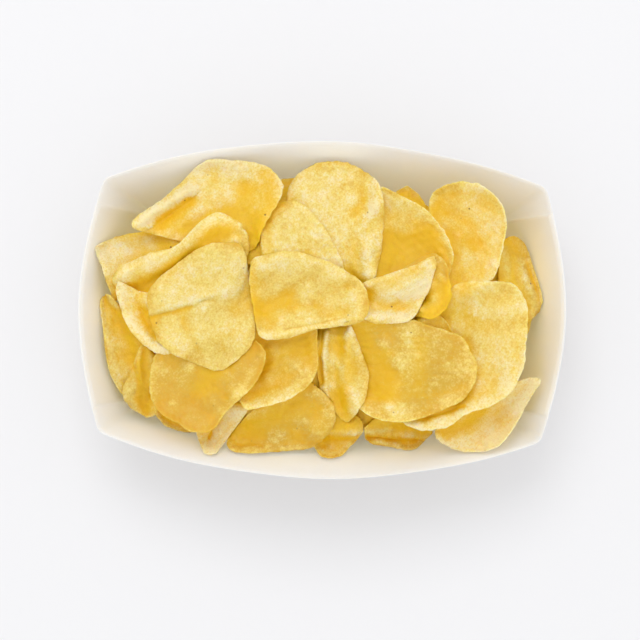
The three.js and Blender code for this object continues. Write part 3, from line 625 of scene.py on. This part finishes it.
def outline(c):
    """A crisp's middle, its half sizes along its heading and across it, and the reach of its
    outline round it. The corners are joined by straight lines and set in a frame where the
    half sizes are 1. There the distance from the middle, as a function of direction, is
    smoothed by a Gaussian."""
    corners = np.reshape(c.rim, (-1, 2))
    t = np.linspace(0, len(corners), OUTLINE_STEPS, endpoint=False)
    k = t.astype(int)
    edge = mix(corners[k], np.roll(corners, -1, axis=0)[k], (t - k)[:, None])
    u, v = rotate(edge[:, 0], edge[:, 1], -c.turn)
    half = np.array([np.ptp(u), np.ptp(v)]) / 2
    middle = (u.max() + u.min()) / 2, (v.max() + v.min()) / 2
    u, v = (u - middle[0]) / half[0], (v - middle[1]) / half[1]
    way = np.linspace(-TAU / 2, TAU / 2, OUTLINE_STEPS, endpoint=False)
    reach = np.interp(way, np.arctan2(v, u), np.hypot(u, v), period=TAU)
    bell = np.exp(-(way / OUTLINE_ROUND) ** 2 / 2)
    reach = np.fft.ifft(np.fft.fft(reach) * np.fft.fft(np.fft.ifftshift(bell / bell.sum())))
    return rotate(*middle, c.turn), half, (way, reach.real)


def form(x, y, height, left, right, gold, line):
    """A ridge that falls off as exp(-(d/width)²) with the distance d from a line of straight
    parts. Returns the rise and the depth of colour, which is painted shade where gold is
    above 0 and a painted highlight where it is below."""
    corners = np.reshape(line, (-1, 2))
    nearest = np.full_like(x, np.inf)
    width = np.full_like(x, left)
    for (x0, y0), (x1, y1) in zip(corners[:-1], corners[1:]):
        dx, dy = x1 - x0, y1 - y0
        share = np.clip(((x - x0) * dx + (y - y0) * dy) / (dx * dx + dy * dy), 0, 1)
        far = np.hypot(x - x0 - share * dx, y - y0 - share * dy)
        side = dx * (y - y0) - dy * (x - x0)
        width = np.where(far < nearest, np.where(side > 0, left, right), width)
        nearest = np.minimum(far, nearest)
    bell = np.exp(-(nearest / width) ** 2)
    return height * bell, gold * bell


def crisp_sheet(c, p, q):
    """A crisp's middle surface over the unit disc (p, q), before it is laid down. It dishes by
    squares of the distance along and across, twists by their product, waves at its rim, curls
    up at its lips by the square of the way out, and follows its ridges and valleys. Then it is
    tilted, turned and set on the mound's slope. Returns the points, the slice's own flat
    coordinates and its depth of colour, which is the forms' painted shade and highlight."""
    a = np.arctan2(q, p)
    rho = np.hypot(p, q)
    (x0, y0), (half_x, half_y), (way, reach) = outline(c)
    size = np.interp(a, way, reach, period=TAU)
    for count, k, share in NIBBLES:
        size = size * (1 + share * np.cos(count * a + TAU * draw(c.seed, k)))
    u, v = half_x * p * size, half_y * q * size
    along, side = u / half_x, v / half_y
    w = c.dish[0] * along ** 2 + c.dish[1] * side ** 2 + c.twist * along * side
    count = RIM_WAVES + np.floor(RIM_SPARE * draw(c.seed, 4))
    w = w + RIM_WAVE * rho ** 3 * np.cos(count * a + TAU * draw(c.seed, 5))
    count = count + RIM_CRINKLES
    w = w + RIM_CRINKLE * rho ** 6 * np.cos(count * a + TAU * draw(c.seed, 6))
    w = w + waves(u, v, c.seed, *BENDS)
    heading = np.degrees(np.arctan2(v, u)) + c.turn
    for to, height, breadth, start in c.lips:
        off = (heading - to + 180) % 360 - 180
        out = np.clip((rho - start) / (1 - start), 0, 1)
        w = w + height * out ** 2 * np.exp(-(off / breadth) ** 2)
    gold = np.zeros_like(u)
    x, y = rotate(u, v, c.turn)
    for each in c.forms:
        rise, depth = form(x + x0, y + y0, *each)
        w, gold = w + rise, gold + depth
    flat = (u, v)
    v, w = rotate(v, w, c.bank)
    u, w = rotate(u, w, c.pitch)
    x, y = rotate(u, v, c.turn)
    fall = 2 * MOUND_DROP * FOLLOW * (x * x0 / MOUND_X ** 2 + y * y0 / MOUND_Y ** 2)
    points = np.stack([x + x0, y + y0, w + c.lift + mound(x0, y0) - fall], -1)
    return points, flat, gold


def mound(x, y):
    """Height at which a crisp lies: a paraboloid."""
    return MOUND_TOP - MOUND_DROP * ((x / MOUND_X) ** 2 + (y / MOUND_Y) ** 2)


def normals(points):
    """Unit normals of a grid of points, from the differences along and across it."""
    n = np.cross(np.gradient(points, axis=0), np.gradient(points, axis=1))
    return n / np.maximum(np.linalg.norm(n, axis=-1, keepdims=True), 1e-9)


# ---- Laying the crisps down ----
def cell_of(points):
    """The height map's cell under each point."""
    shape = np.array([2 * MAP_X / CELL, 2 * MAP_Y / CELL], int)
    cell = ((points[..., :2] + (MAP_X, MAP_Y)) / CELL).astype(int)
    cell = np.clip(cell, 0, shape - 1)
    return cell[..., 0], cell[..., 1]


def ground(wall):
    """The height map of the tray's walls and the core, before any crisp lies there."""
    heights = np.zeros((int(2 * MAP_X / CELL), int(2 * MAP_Y / CELL)))
    s, h = np.meshgrid(np.linspace(-1, 1, WALL_ALONG), np.linspace(0, 1, WALL_UP),
                       indexing="ij")
    for face in (long_wall, end_wall):
        points = face(s, h, wall)
        for turned in (points, points * (-1, -1, 1)):
            np.maximum.at(heights, cell_of(turned), turned[..., 2] + WALL_CLEAR)
    x = (np.arange(heights.shape[0]) + 0.5) * CELL - MAP_X
    y = (np.arange(heights.shape[1]) + 0.5) * CELL - MAP_Y
    x, y = np.meshgrid(x, y, indexing="ij")
    far = np.abs(x / CORE_X) ** CORE_POWER + np.abs(y / CORE_Y) ** CORE_POWER
    core = np.where(far < CORE_RINGS[0] ** CORE_POWER, mound(x, y) - CORE_LOW, 0)
    return np.maximum(heights, core)


def around(values, join):
    """Each value with its four neighbours, joined by a function."""
    e = np.pad(values, 1, mode="edge")
    return join([e[1:-1, 1:-1], e[2:, 1:-1], e[:-2, 1:-1], e[1:-1, 2:], e[1:-1, :-2]])


def average(parts):
    return sum(parts) / len(parts)


def smoothed(values, rounds):
    """The values after some rounds of averaging each with its neighbours."""
    for _ in range(rounds):
        values = around(values, average)
    return values


def spread(need):
    """A smooth lift that covers what is needed and eases off round it: the need grows by some
    steps, relaxes like a loaded membrane, and is smoothed."""
    share = len(need) / FINE
    wide = need
    for _ in range(max(1, round(GROW * share))):
        wide = around(wide, np.maximum.reduce)
    lift = wide
    for _ in range(round(EASE * share * share)):
        lift = np.maximum(wide, around(lift, average))
    lift = smoothed(lift, round(BLUR * share * share))
    return smoothed(np.maximum(lift, need), SETTLE)


def refine(points, m):
    """The grid with m steps in each of its own, by straight lines."""
    t = np.linspace(0, len(points) - 1, (len(points) - 1) * m + 1)
    k = np.minimum(t.astype(int), len(points) - 2)
    f = (t - k)[:, None, None]
    rows = points[k] * (1 - f) + points[k + 1] * f
    f = (t - k)[None, :, None]
    return rows[:, k] * (1 - f) + rows[:, k + 1] * f


def lay(c, n, heights, thick):
    """Bends a crisp up wherever it would sink into what is below it, and adds it to the map."""
    points, flat, gold = crisp_sheet(c, *disc_grid(n))
    upright = np.maximum(np.abs(normals(points)[..., 2]), LEAST_UP)
    need = heights[cell_of(points)] + REST + thick / 2 / upright - points[..., 2]
    points[..., 2] += spread(np.maximum(need, 0))
    fine = refine(points, MAP_STEPS * FINE // n)
    np.maximum.at(heights, cell_of(fine), fine[..., 2] + thick / 2)
    return points, flat, gold


def under_crisps():
    """Crisps in rings round the middle, each turned along its ring and jittered. Their outline
    is a superellipse."""
    made = []
    r, cos, sin = superellipse(UNDER_CORNERS, OVAL_POWER)
    for count, reach_x, reach_y, lift in UNDER_RINGS:
        for i in range(count):
            seed = UNDER_SEED + len(made)
            at = TAU * (i + UNDER_SHIFT * draw(seed, 1)) / count
            x0, y0 = reach_x * math.cos(at), reach_y * math.sin(at)
            share = UNDER_LEAST + UNDER_SPARE * draw(seed, 7)
            half_x, half_y = (s / 2 * share for s in UNDER_SIZE)
            turn = math.degrees(math.atan2(reach_y * math.cos(at), -reach_x * math.sin(at)))
            turn += UNDER_TURN * (draw(seed, 8) - 0.5)
            x, y = rotate(half_x * r * cos, half_y * r * sin, turn)
            rim = np.stack([x + x0, y + y0], -1).ravel()
            dish = tuple(least + UNDER_DISH_SPARE * draw(seed, k)
                         for k, least in zip((9, 10), UNDER_DISH))
            made.append(Crisp(f"under_{len(made)}", turn, seed, rim, lift=lift, dish=dish,
                              tone=UNDER_TONE))
    return made


def tilt(points):
    """The slopes along x and y of the plane that fits the points best."""
    flat = points.reshape(-1, 3)
    flat = flat - flat.mean(0)
    return np.linalg.lstsq(flat[:, :2], flat[:, 2], rcond=None)[0]


def shelter(points, heights, slopes=(0, 0), reaches=SKY_REACH):
    """How far what the map holds hides the sky from each point: the mean, over all directions,
    of the sine of the steepest slope up to it, beyond a plane's own slopes along x and y."""
    hidden = 0
    for a in np.linspace(0, TAU, SKY_PARTS, endpoint=False):
        steepest = 0
        for reach in reaches:
            seen = points + (reach * math.cos(a), reach * math.sin(a), 0)
            slope = (heights[cell_of(seen)] - points[..., 2]) / reach
            slope = slope - slopes[0] * math.cos(a) - slopes[1] * math.sin(a)
            steepest = np.maximum(steepest, slope)
        hidden = hidden + steepest / np.hypot(1, steepest)
    return smoothed(hidden, SETTLE) / SKY_PARTS


def crest(points):
    """How far each point stands above the slice's smoothed surface, from -1 to 1."""
    smooth = smoothed(points[..., 2], round(CREST_BLUR * (len(points) / FINE) ** 2))
    return np.clip((points[..., 2] - smooth) / CREST_HEIGHT, -1, 1)


@functools.lru_cache(maxsize=1)
def laid_heap(thick, wall):
    """Every crisp laid in turn, the ones underneath first: two lists of (crisp, points, flat
    coordinates, depth of colour, shelter, crest), and the height map of the crisps alone."""
    bare = ground(wall)
    heights = bare.copy()
    under = [(c, *lay(c, COARSE, heights, thick)) for c in under_crisps()]
    over = [(c, *lay(c, FINE, heights, thick)) for c in CRISPS]
    heap = np.where(heights > bare, heights, 0)
    # Each point's shelter later paints light into the crisps' colour.
    groups = [[(*one, shelter(one[1], heap, tilt(one[1])), crest(one[1])) for one in group]
              for group in (under, over)]
    return *groups, heap


# ---- A laid crisp as a closed slice ----
def blisters(c, u, v, height):
    """Domes h(1 - (d/r)²)² scattered over the slice. Returns their height and their mask."""
    rise = np.zeros_like(u)
    mask = np.zeros_like(u)
    for i in range(BLISTERS):
        k = BLISTER_DRAW + BLISTER_DRAWS * i
        a = TAU * draw(c.seed, k)
        out = BLISTER_REACH * math.sqrt(draw(c.seed, k + 1))
        x, y = np.ptp(u) * out * math.cos(a), np.ptp(v) * out * math.sin(a)
        radius = BLISTER_LEAST + BLISTER_SPARE * draw(c.seed, k + 2) ** 2
        stretch = BLISTER_NARROW + BLISTER_WIDE * draw(c.seed, k + 3)
        far = (((u - x) * stretch) ** 2 + ((v - y) / stretch) ** 2) / radius ** 2
        dome = np.maximum(1 - far, 0) ** 2
        rise += height * radius / BLISTER_FULL * dome
        mask = np.maximum(mask, np.sqrt(dome))
    return rise, mask


@functools.lru_cache(maxsize=2)
def slice_faces(n):
    """Two grids of quads that share their border. Returns the faces and the lower grid's
    inner points' places in the upper one."""
    top = np.arange(n * n).reshape(n, n)
    low = top.copy()
    low[1:-1, 1:-1] = n * n + np.arange((n - 2) ** 2).reshape(n - 2, n - 2)

    def quads(grid):
        return np.stack([grid[:-1, :-1], grid[1:, :-1], grid[1:, 1:], grid[:-1, 1:]], -1)

    up = quads(top).reshape(-1, 4)
    down = quads(low)[..., ::-1].reshape(-1, 4)
    return np.concatenate([up, down]), top[1:-1, 1:-1].ravel()


def slice_of(c, points, flat, gold, hidden, raised, thick, blister):
    """Gives the middle surface its thickness, half up and half down its normals, thinning to
    the rim as √(1 - r^k), with fine dents and blisters. Returns points, faces, attributes."""
    n = len(points)
    p, q = disc_grid(n)
    rho = np.hypot(p, q)
    u, v = flat
    up = normals(points)
    middle = points + up * waves(u, v, c.seed, *DENTS)[..., None]
    half = thick / 2 * np.sqrt(np.maximum(1 - rho ** RIM_POWER, 0))
    rise, mask = blisters(c, u, v, blister)
    rise = rise * ease((1 - rho) * BLISTER_FADE)
    over = middle + up * (half + rise)[..., None]
    under = middle - up * half[..., None]
    faces, inner = slice_faces(n)
    every = np.concatenate([over.reshape(-1, 3), under.reshape(-1, 3)[inner]])
    fields = {
        "slice_at": np.stack([u, v, np.full_like(u, c.seed * TEXTURE_STEP)], -1) * MM,
        "edge": rho,
        "blister": mask,
        "tone": np.full_like(u, c.tone + TONE_SPARE * (draw(c.seed, 12) - 0.5)),
        "gold": gold,
        "mottle": np.full_like(u, c.mottle),
        "shelter": hidden,
        "crest": raised,
    }
    attributes = []
    for name, values in fields.items():
        values = values.reshape(n * n, -1)
        attributes.append((name, np.concatenate([values, values[inner]]).squeeze()))
    return every, faces, attributes


def core_mesh():
    """The heap's hidden middle: rings of one superellipse from its foot to its shoulder and
    over the mound, closed at both ends."""
    r, cos, sin = superellipse(CORE_POINTS, CORE_POWER)

    def ring(x, y, height):
        x, y = x * r * cos, y * r * sin
        return np.stack([x, y, np.full_like(x, height) if height else mound(x, y) - CORE_LOW], -1)

    rings = [ring(CORE_FOOT_X * k, CORE_FOOT_Y * k, CORE_FOOT) for k in CORE_FOOT_RINGS]
    rings += [ring(CORE_X, CORE_Y, CORE_SHOULDER)]
    rings += [ring(CORE_X * k, CORE_Y * k, None) for k in CORE_RINGS]
    rings = np.stack(rings)
    rows, columns = rings.shape[:2]
    count = rows * columns
    centres = np.array([[0, 0, CORE_FOOT], [0, 0, MOUND_TOP - CORE_LOW]])
    points = np.concatenate([rings.reshape(-1, 3), centres])
    low = fan(np.arange(columns), count, True)
    high = fan(np.arange(count - columns, count), count + 1, False)
    return points, (ring_faces(rows, columns), low, high)


# ---- Materials ----
INDEX = 1.45  # index of refraction of starch, oil and paper
TOAST_SIZE, RARE_SIZE = 14, 17  # size of the toasted stretches of rim and of the specks' areas
CRISP_GLOW, CRISP_GLOW_TINT = 2.2, (0.7, 0.9, 0.2)  # how far light spreads in a slice
BOARD_GLOW, BOARD_GLOW_TINT = 5.5, (1.0, 0.88, 0.72)  # and in the board
BOARD_CLOUD, BOARD_TOOTH = 9, 0.03  # size of its clouds of fibre, and depth of its tooth
PAPER_GRAIN, PAPER_TOOTH = 1.2, 0.02  # size and depth of the background paper's tooth


def add_node(tree, kind, links=(), values=(), out=0, stops=(), **settings):
    """Adds a node with its settings, the sockets that feed it, its sockets' values and the
    stops of its ramp. Returns one of its outputs."""
    node = tree.nodes.new(kind)
    for name, value in settings.items():
        setattr(node, name, value)
    for name, source in dict(links).items():
        tree.links.new(source, node.inputs[name])
    for name, value in dict(values).items():
        node.inputs[name].default_value = value
    for i, (place, colour) in enumerate(stops):
        elements = node.color_ramp.elements
        element = elements[i] if i < len(elements) else elements.new(place)
        element.position, element.color = place, colour
    return node.outputs[out] if len(node.outputs) else node


def new_material(name):
    """A material with an empty node tree."""
    material = bpy.data.materials.new(name)
    material.use_nodes = True
    material.node_tree.nodes.clear()
    return material, material.node_tree


def fried_potato(look):
    """Potato slice fried in oil: straw to gold, with starch cells that catch the light as fine
    grain. Blisters and thin rims are paler and drier, and crests are paler as a painted
    highlight. Valleys and the forms' gold lines take a deep gold as painted shade, and spots
    that other slices shelter take a bright gold as painted light, standing in for light that
    reaches them through and off other slices. Fine flecks are toasted, and the odd speck is
    burnt."""
    material, tree = new_material("fried_potato_slice")
    place = add_node(tree, "ShaderNodeAttribute", out="Vector", attribute_name="slice_at")
    fields = {name: add_node(tree, "ShaderNodeAttribute", out="Fac", attribute_name=name)
              for name in ("edge", "blister", "tone", "gold", "mottle", "shelter", "crest")}
    noises = {}
    for name, size, detail, rough in (
            ("patches", look.patch_size, 2, 0.55), ("mottle", look.mottle_size, 3, 0.6),
            ("grain", look.grain_size, 2, 0.7), ("toast", TOAST_SIZE * MM, 1, 0.5),
            ("rare", RARE_SIZE * MM, 1, 0.5)):
        noises[name] = add_node(tree, "ShaderNodeTexNoise", {"Vector": place},
                                {"Scale": 1 / size, "Detail": detail, "Roughness": rough})
    cells = add_node(tree, "ShaderNodeTexVoronoi", {"Vector": place},
                     {"Scale": 1 / look.cell_size})
    specks = add_node(tree, "ShaderNodeTexVoronoi", {"Vector": place},
                      {"Scale": 1 / look.speck_spacing})
    held = {}
    for name, source, low, high, to_low, to_high in (
            ("mottle", noises["mottle"], 0.3, 0.7, -0.5, 0.5),
            ("rim", fields["edge"], 0.95, 1.0, 0, 1),
            ("rim_toast", fields["edge"], 0.86, 0.97, 0, 1),
            ("toast", noises["toast"], 0.5, 0.66, 0, 1),
            ("rare", noises["rare"], 0.5, 0.62, 0, 1),
            ("speck", specks, 0.05, 0.09, 1, 0),
            ("rough", noises["mottle"], 0.3, 0.7, 0.4, 0.6)):
        held[name] = add_node(tree, "ShaderNodeMapRange", {"Value": source},
                              {"From Min": low, "From Max": high, "To Min": to_low,
                               "To Max": to_high})
    both = {}
    for name, first, second in (("mottle", held["mottle"], fields["mottle"]),
                                ("toast", held["toast"], held["rim_toast"]),
                                ("speck", held["speck"], held["rare"])):
        both[name] = add_node(tree, "ShaderNodeMath", {0: first, 1: second},
                              operation="MULTIPLY")
    totals = {}
    # Each total starts at a number and adds its sources times their weights.
    for name, start, terms in (
            # Painted light and shade in the depth: the forms' gold paints shade, or a highlight
            # where below 0, the crest a paler highlight, and tone some shade too.
            ("depth", -0.29, ((noises["patches"], 0.6), (both["mottle"], 0.2),
                              (noises["grain"], 0.26), (cells, 0.26),
                              (fields["tone"], 1.0), (fields["gold"], 0.35),
                              (fields["crest"], -0.2), (fields["blister"], -0.18),
                              (held["rim"], -0.08), (both["toast"], 0.3))),
            # Painted shade: a deep gold along valleys and the forms' gold lines.
            ("painted_shade", -0.55, ((fields["gold"], 1.7), (noises["grain"], 0.5),
                               (noises["mottle"], 0.4))),
            # Painted light: a bright saturated gold where other slices hide the sky, standing in
            # for light through and off them.
            ("painted_glow", -1.2, ((fields["shelter"], 2.4), (noises["grain"], 0.5),
                            (noises["mottle"], 0.4), (fields["crest"], -0.2),
                            (fields["gold"], 0.5))),
            ("fleck", -0.57, ((noises["grain"], 1.0), (noises["mottle"], 0.3))),
            ("relief", 0.0, ((noises["grain"], 1.0), (noises["mottle"], 1.2),
                             (cells, -0.4)))):
        total = add_node(tree, "ShaderNodeValue")
        total.default_value = start
        for source, weight in terms:
            total = add_node(tree, "ShaderNodeMath", {0: source, 2: total}, {1: weight},
                             operation="MULTIPLY_ADD")
        totals[name] = total
    colour = add_node(tree, "ShaderNodeValToRGB", {"Fac": totals["depth"]},
                      stops=((0.0, look.pale), (0.3, look.straw), (0.62, look.gold),
                             (1.0, look.toasted)))
    # Painted light and shade come first: a bright gold where other slices shelter the surface,
    # then a deep gold along valleys and the forms' gold lines. Then toasted flecks and burnt
    # specks.
    for share, held_colour in ((totals["painted_glow"], look.painted_glow), (totals["painted_shade"], look.painted_shade),
                               (totals["fleck"], look.toasted),
                               (both["speck"], look.speck)):
        colour = add_node(tree, "ShaderNodeMix", {"Factor": share, 6: colour},
                          {7: held_colour}, out=2, data_type="RGBA", clamp_factor=True)
    bump = add_node(tree, "ShaderNodeBump", {"Height": totals["relief"]},
                    {"Strength": 0.8, "Distance": look.relief})
    shader = add_node(
        tree, "ShaderNodeBsdfPrincipled",
        {"Base Color": colour, "Roughness": held["rough"], "Normal": bump},
        {"IOR": INDEX, "Subsurface Weight": 0.6, "Subsurface Radius": CRISP_GLOW_TINT,
         "Subsurface Scale": CRISP_GLOW * MM})
    add_node(tree, "ShaderNodeOutputMaterial", {"Surface": shader})
    return material


def paperboard(look):
    """Uncoated white paperboard, rolled and folded: matt, almost without colour, with a faint
    cloud of fibres and a slight tooth. It is thin enough for some light to come through."""
    material, tree = new_material("white_paperboard")
    place = add_node(tree, "ShaderNodeTexCoord", out="Object")
    cloud = add_node(tree, "ShaderNodeTexNoise", {"Vector": place},
                     {"Scale": 1 / (BOARD_CLOUD * MM), "Detail": 3, "Roughness": 0.6})
    fibre = add_node(tree, "ShaderNodeTexNoise", {"Vector": place},
                     {"Scale": 1 / look.fibre, "Detail": 3, "Roughness": 0.7})
    mixed = add_node(tree, "ShaderNodeMath", {0: cloud, 1: fibre}, operation="ADD")
    colour = add_node(tree, "ShaderNodeValToRGB", {"Fac": mixed},
                      stops=((0.6, look.cloud), (1.0, look.colour)))
    # The mix below paints warm bounce light beside the heap into the board's colour.
    oil = add_node(tree, "ShaderNodeAttribute", out="Fac", attribute_name="oil")
    with_bounce = add_node(tree, "ShaderNodeMix", {"Factor": oil, 6: colour}, {7: look.oil}, out=2,
                      data_type="RGBA")
    bump = add_node(tree, "ShaderNodeBump", {"Height": fibre},
                    {"Strength": 0.5, "Distance": BOARD_TOOTH * MM})
    shader = add_node(
        tree, "ShaderNodeBsdfPrincipled", {"Base Color": with_bounce, "Normal": bump},
        {"IOR": INDEX, "Roughness": 0.82, "Subsurface Weight": 1.0,
         "Subsurface Radius": BOARD_GLOW_TINT, "Subsurface Scale": BOARD_GLOW * MM})
    add_node(tree, "ShaderNodeOutputMaterial", {"Surface": shader})
    return material


def studio_paper(look):
    """Smooth white background paper, lit evenly: matt and plain, with hardly any tooth."""
    material, tree = new_material("background_paper")
    place = add_node(tree, "ShaderNodeTexCoord", out="Object")
    tooth = add_node(tree, "ShaderNodeTexNoise", {"Vector": place},
                     {"Scale": 1 / (PAPER_GRAIN * MM)})
    bump = add_node(tree, "ShaderNodeBump", {"Height": tooth},
                    {"Strength": 0.1, "Distance": PAPER_TOOTH * MM})
    shader = add_node(tree, "ShaderNodeBsdfPrincipled", {"Normal": bump},
                      {"Base Color": look.floor, "IOR": INDEX, "Roughness": 0.9})
    add_node(tree, "ShaderNodeOutputMaterial", {"Surface": shader})
    return material


# ---- What a user may change ----
def colour_field(name, description, code):
    """A colour property whose default is an sRGB hex colour."""
    return FloatVectorProperty(name=name, description=description, subtype="COLOR", size=4,
                               min=0, max=1, default=linear(code))


def length_field(name, description, metres):
    """A length property with its default."""
    return FloatProperty(name=name, description=description, default=metres,
                         subtype="DISTANCE", unit="LENGTH")


class TrayLook(bpy.types.PropertyGroup):
    board: length_field("Board", "Thickness of the paperboard", 0.0006)
    wall: length_field("Wall", "The board measured level across a wall", 0.0007)
    fibre: length_field("Fibre", "Size of the clumps of fibre", 0.0009)
    colour: colour_field("Colour", "Most of the board", "ece7df")
    cloud: colour_field("Cloud", "Where the fibre is denser", "e9e3da")
    # Painted warm bounce light, mixed in where the heap hides the board's sky.
    oil: colour_field("Oil", "Where oil has soaked in", "ffe8c4")


class CrispLook(bpy.types.PropertyGroup):
    thickness: length_field("Thickness", "Thickness of a slice", 0.0008)
    blister: length_field("Blister", "Height of a blister 3 mm in radius", 0.0005)
    relief: length_field("Relief", "Depth of the fine grain", 0.00009)
    patch_size: length_field("Patches", "Size of the paler patches", 0.014)
    mottle_size: length_field("Mottle", "Size of the mottling", 0.0028)
    grain_size: length_field("Grain", "Size of the fine grain", 0.0007)
    cell_size: length_field("Cells", "Size of the starch cells", 0.001)
    speck_spacing: length_field("Specks", "Space between specks", 0.006)
    # Crests take this paler colour as a painted highlight; blisters and thin rims are paler and
    # drier themselves.
    pale: colour_field("Pale", "Dry blisters, crests and thin rims", "f8e7b2")
    straw: colour_field("Straw", "Lightly fried", "f2d879")
    gold: colour_field("Gold", "Well fried", "deb746")
    toasted: colour_field("Toasted", "The darkest rims, patches and flecks", "dba722")
    # Painted shade: a deep gold along valleys and beside crisps that lie above.
    painted_shade: colour_field("Hollow", "Valleys, where oil has gathered", "efbf14")
    # Painted light: mixed in where other slices hide the sky.
    painted_glow: colour_field("Glow", "Where light comes through other slices", "fbca1c")
    speck: colour_field("Speck", "Burnt specks", "8a5a24")


class StudioLook(bpy.types.PropertyGroup):
    floor: colour_field("Floor", "Background paper", "eeeef0")
    sky: FloatProperty(name="Fill", description="Strength of the even light from all round",
                       default=0.945)
    key: FloatProperty(name="Key", description="Power of the large soft lamp",
                       default=17, subtype="POWER", unit="POWER")


# ---- Operators ----
class AddStudio(bpy.types.Operator):
    """Adds the floor, the even fill, the soft key lamp and the camera"""

    bl_idname = "scene.add_crisp_studio"
    bl_label = "Studio"

    def execute(self, context):
        look = context.scene.studio_look
        half = FLOOR_SIDE / 2
        points = np.array([[-half, -half, 0], [half, -half, 0], [half, half, 0],
                           [-half, half, 0]], float)
        floor = add_piece("studio_floor", points, (np.array([[0, 1, 2, 3]]),),
                          studio_paper(look))
        world = bpy.data.worlds.new("studio_fill")
        world.use_nodes = True
        back = world.node_tree.nodes["Background"]
        back.inputs["Color"].default_value = (1, 1, 1, 1)
        back.inputs["Strength"].default_value = look.sky
        context.scene.world = world
        lamp = bpy.data.lights.new("soft_key", "AREA")
        lamp.shape = "SQUARE"
        lamp.size = KEY_SIDE * MM
        lamp.energy = look.key
        key = bpy.data.objects.new("soft_key", lamp)
        place = np.array(KEY_AT)
        key.location = place * MM
        across = math.hypot(place[0], place[1])
        key.rotation_euler = (math.atan2(across, place[2]), 0,
                              math.atan2(place[0], -place[1]))
        context.scene.collection.objects.link(key)
        camera = bpy.data.cameras.new("overhead")
        camera.sensor_width = SENSOR
        camera.lens = SENSOR * CAMERA_HEIGHT / PICTURE_SIDE
        camera.clip_end = CAMERA_FAR
        view = bpy.data.objects.new("overhead", camera)
        view.location = np.array([*CAMERA_AT, CORNER_Z + CAMERA_HEIGHT]) * MM
        view.rotation_euler = (0, 0, math.radians(CAMERA_TURN))
        context.scene.collection.objects.link(view)
        context.scene.camera = view
        context.scene.view_settings.view_transform = "Standard"
        return {"FINISHED"}


class AddTray(bpy.types.Operator):
    """Adds the folded paperboard tray"""

    bl_idname = "mesh.add_food_tray"
    bl_label = "Paperboard tray"

    def execute(self, context):
        look = context.scene.tray_look
        board, wall = look.board / MM, look.wall / MM
        _, _, heap = laid_heap(context.scene.crisp_look.thickness / MM, wall)
        points, faces, oil = tray_mesh(board, wall, heap)
        # The oil attribute carries the board's painted warm bounce light.
        add_piece("food_tray", points, faces, paperboard(look), "tray",
                  [("oil", oil)])
        return {"FINISHED"}


class AddCrispsBelow(bpy.types.Operator):
    """Adds the middle of the heap and the crisps that show only in its gaps"""

    bl_idname = "mesh.add_crisps_below"
    bl_label = "Crisps underneath"

    def execute(self, context):
        look = context.scene.crisp_look
        wall = context.scene.tray_look.wall / MM
        material = fried_potato(look)
        points, faces = core_mesh()
        # The core counts as fully sheltered, so it is painted all over with the bright sheltered
        # gold, painted light.
        even = {"tone": CORE_TONE, "mottle": 1.0, "shelter": 1.0, "edge": 0.0, "blister": 0.0,
                "gold": 0.0, "crest": 0.0}
        attributes = [("slice_at", points * MM)]
        attributes += [(name, np.full(len(points), value)) for name, value in even.items()]
        add_piece("crisp_core", points, faces, material, "crisp_heap",
                  attributes)
        under, _, _ = laid_heap(look.thickness / MM, wall)
        made = [slice_of(*laid, look.thickness / MM, look.blister / MM) for laid in under]
        starts = np.cumsum([0] + [len(m[0]) for m in made[:-1]])
        points = np.concatenate([m[0] for m in made])
        faces = np.concatenate([m[1] + k for m, k in zip(made, starts)])
        attributes = [(name, np.concatenate([m[2][i][1] for m in made]))
                      for i, (name, _) in enumerate(made[0][2])]
        add_piece("crisps_under", points, (faces,), material, "crisp_heap",
                  attributes)
        return {"FINISHED"}


class AddCrispsOnTop(bpy.types.Operator):
    """Adds the crisps that show, each as a slice of its own"""

    bl_idname = "mesh.add_crisps_on_top"
    bl_label = "Crisps on top"

    def execute(self, context):
        look = context.scene.crisp_look
        wall = context.scene.tray_look.wall / MM
        material = bpy.data.materials.get("fried_potato_slice") or fried_potato(look)
        _, over, _ = laid_heap(look.thickness / MM, wall)
        for c, *laid in over:
            points, faces, attributes = slice_of(c, *laid, look.thickness / MM,
                                                 look.blister / MM)
            add_piece(f"crisp_{c.name}", points, (faces,), material, "crisp_heap",
                      attributes)
        return {"FINISHED"}


class CrispPanel(bpy.types.Panel):
    """Lists the pieces and what may be changed"""

    bl_idname = "VIEW3D_PT_crisps"
    bl_label = "Tray of crisps"
    bl_space_type = "VIEW_3D"
    bl_region_type = "UI"
    bl_category = "Crisps"

    def draw(self, context):
        column = self.layout.column()
        for operator in OPERATORS:
            column.operator(operator.bl_idname)
        for name in ("tray_look", "crisp_look", "studio_look"):
            look = getattr(context.scene, name)
            box = self.layout.box()
            for field in look.__annotations__:
                box.prop(look, field)


LOOKS = {"tray_look": TrayLook, "crisp_look": CrispLook, "studio_look": StudioLook}
OPERATORS = (AddStudio, AddTray, AddCrispsBelow, AddCrispsOnTop)


def register():
    for made in (*LOOKS.values(), *OPERATORS, CrispPanel):
        bpy.utils.register_class(made)
    for name, look in LOOKS.items():
        setattr(bpy.types.Scene, name, PointerProperty(type=look))


def unregister():
    for name in LOOKS:
        delattr(bpy.types.Scene, name)
    for made in (CrispPanel, *reversed(OPERATORS), *LOOKS.values()):
        bpy.utils.unregister_class(made)


def main():
    """Makes everything."""
    register()
    bpy.ops.scene.add_crisp_studio()
    bpy.ops.mesh.add_food_tray()
    bpy.ops.mesh.add_crisps_below()
    bpy.ops.mesh.add_crisps_on_top()


if __name__ == "__main__":
    main()
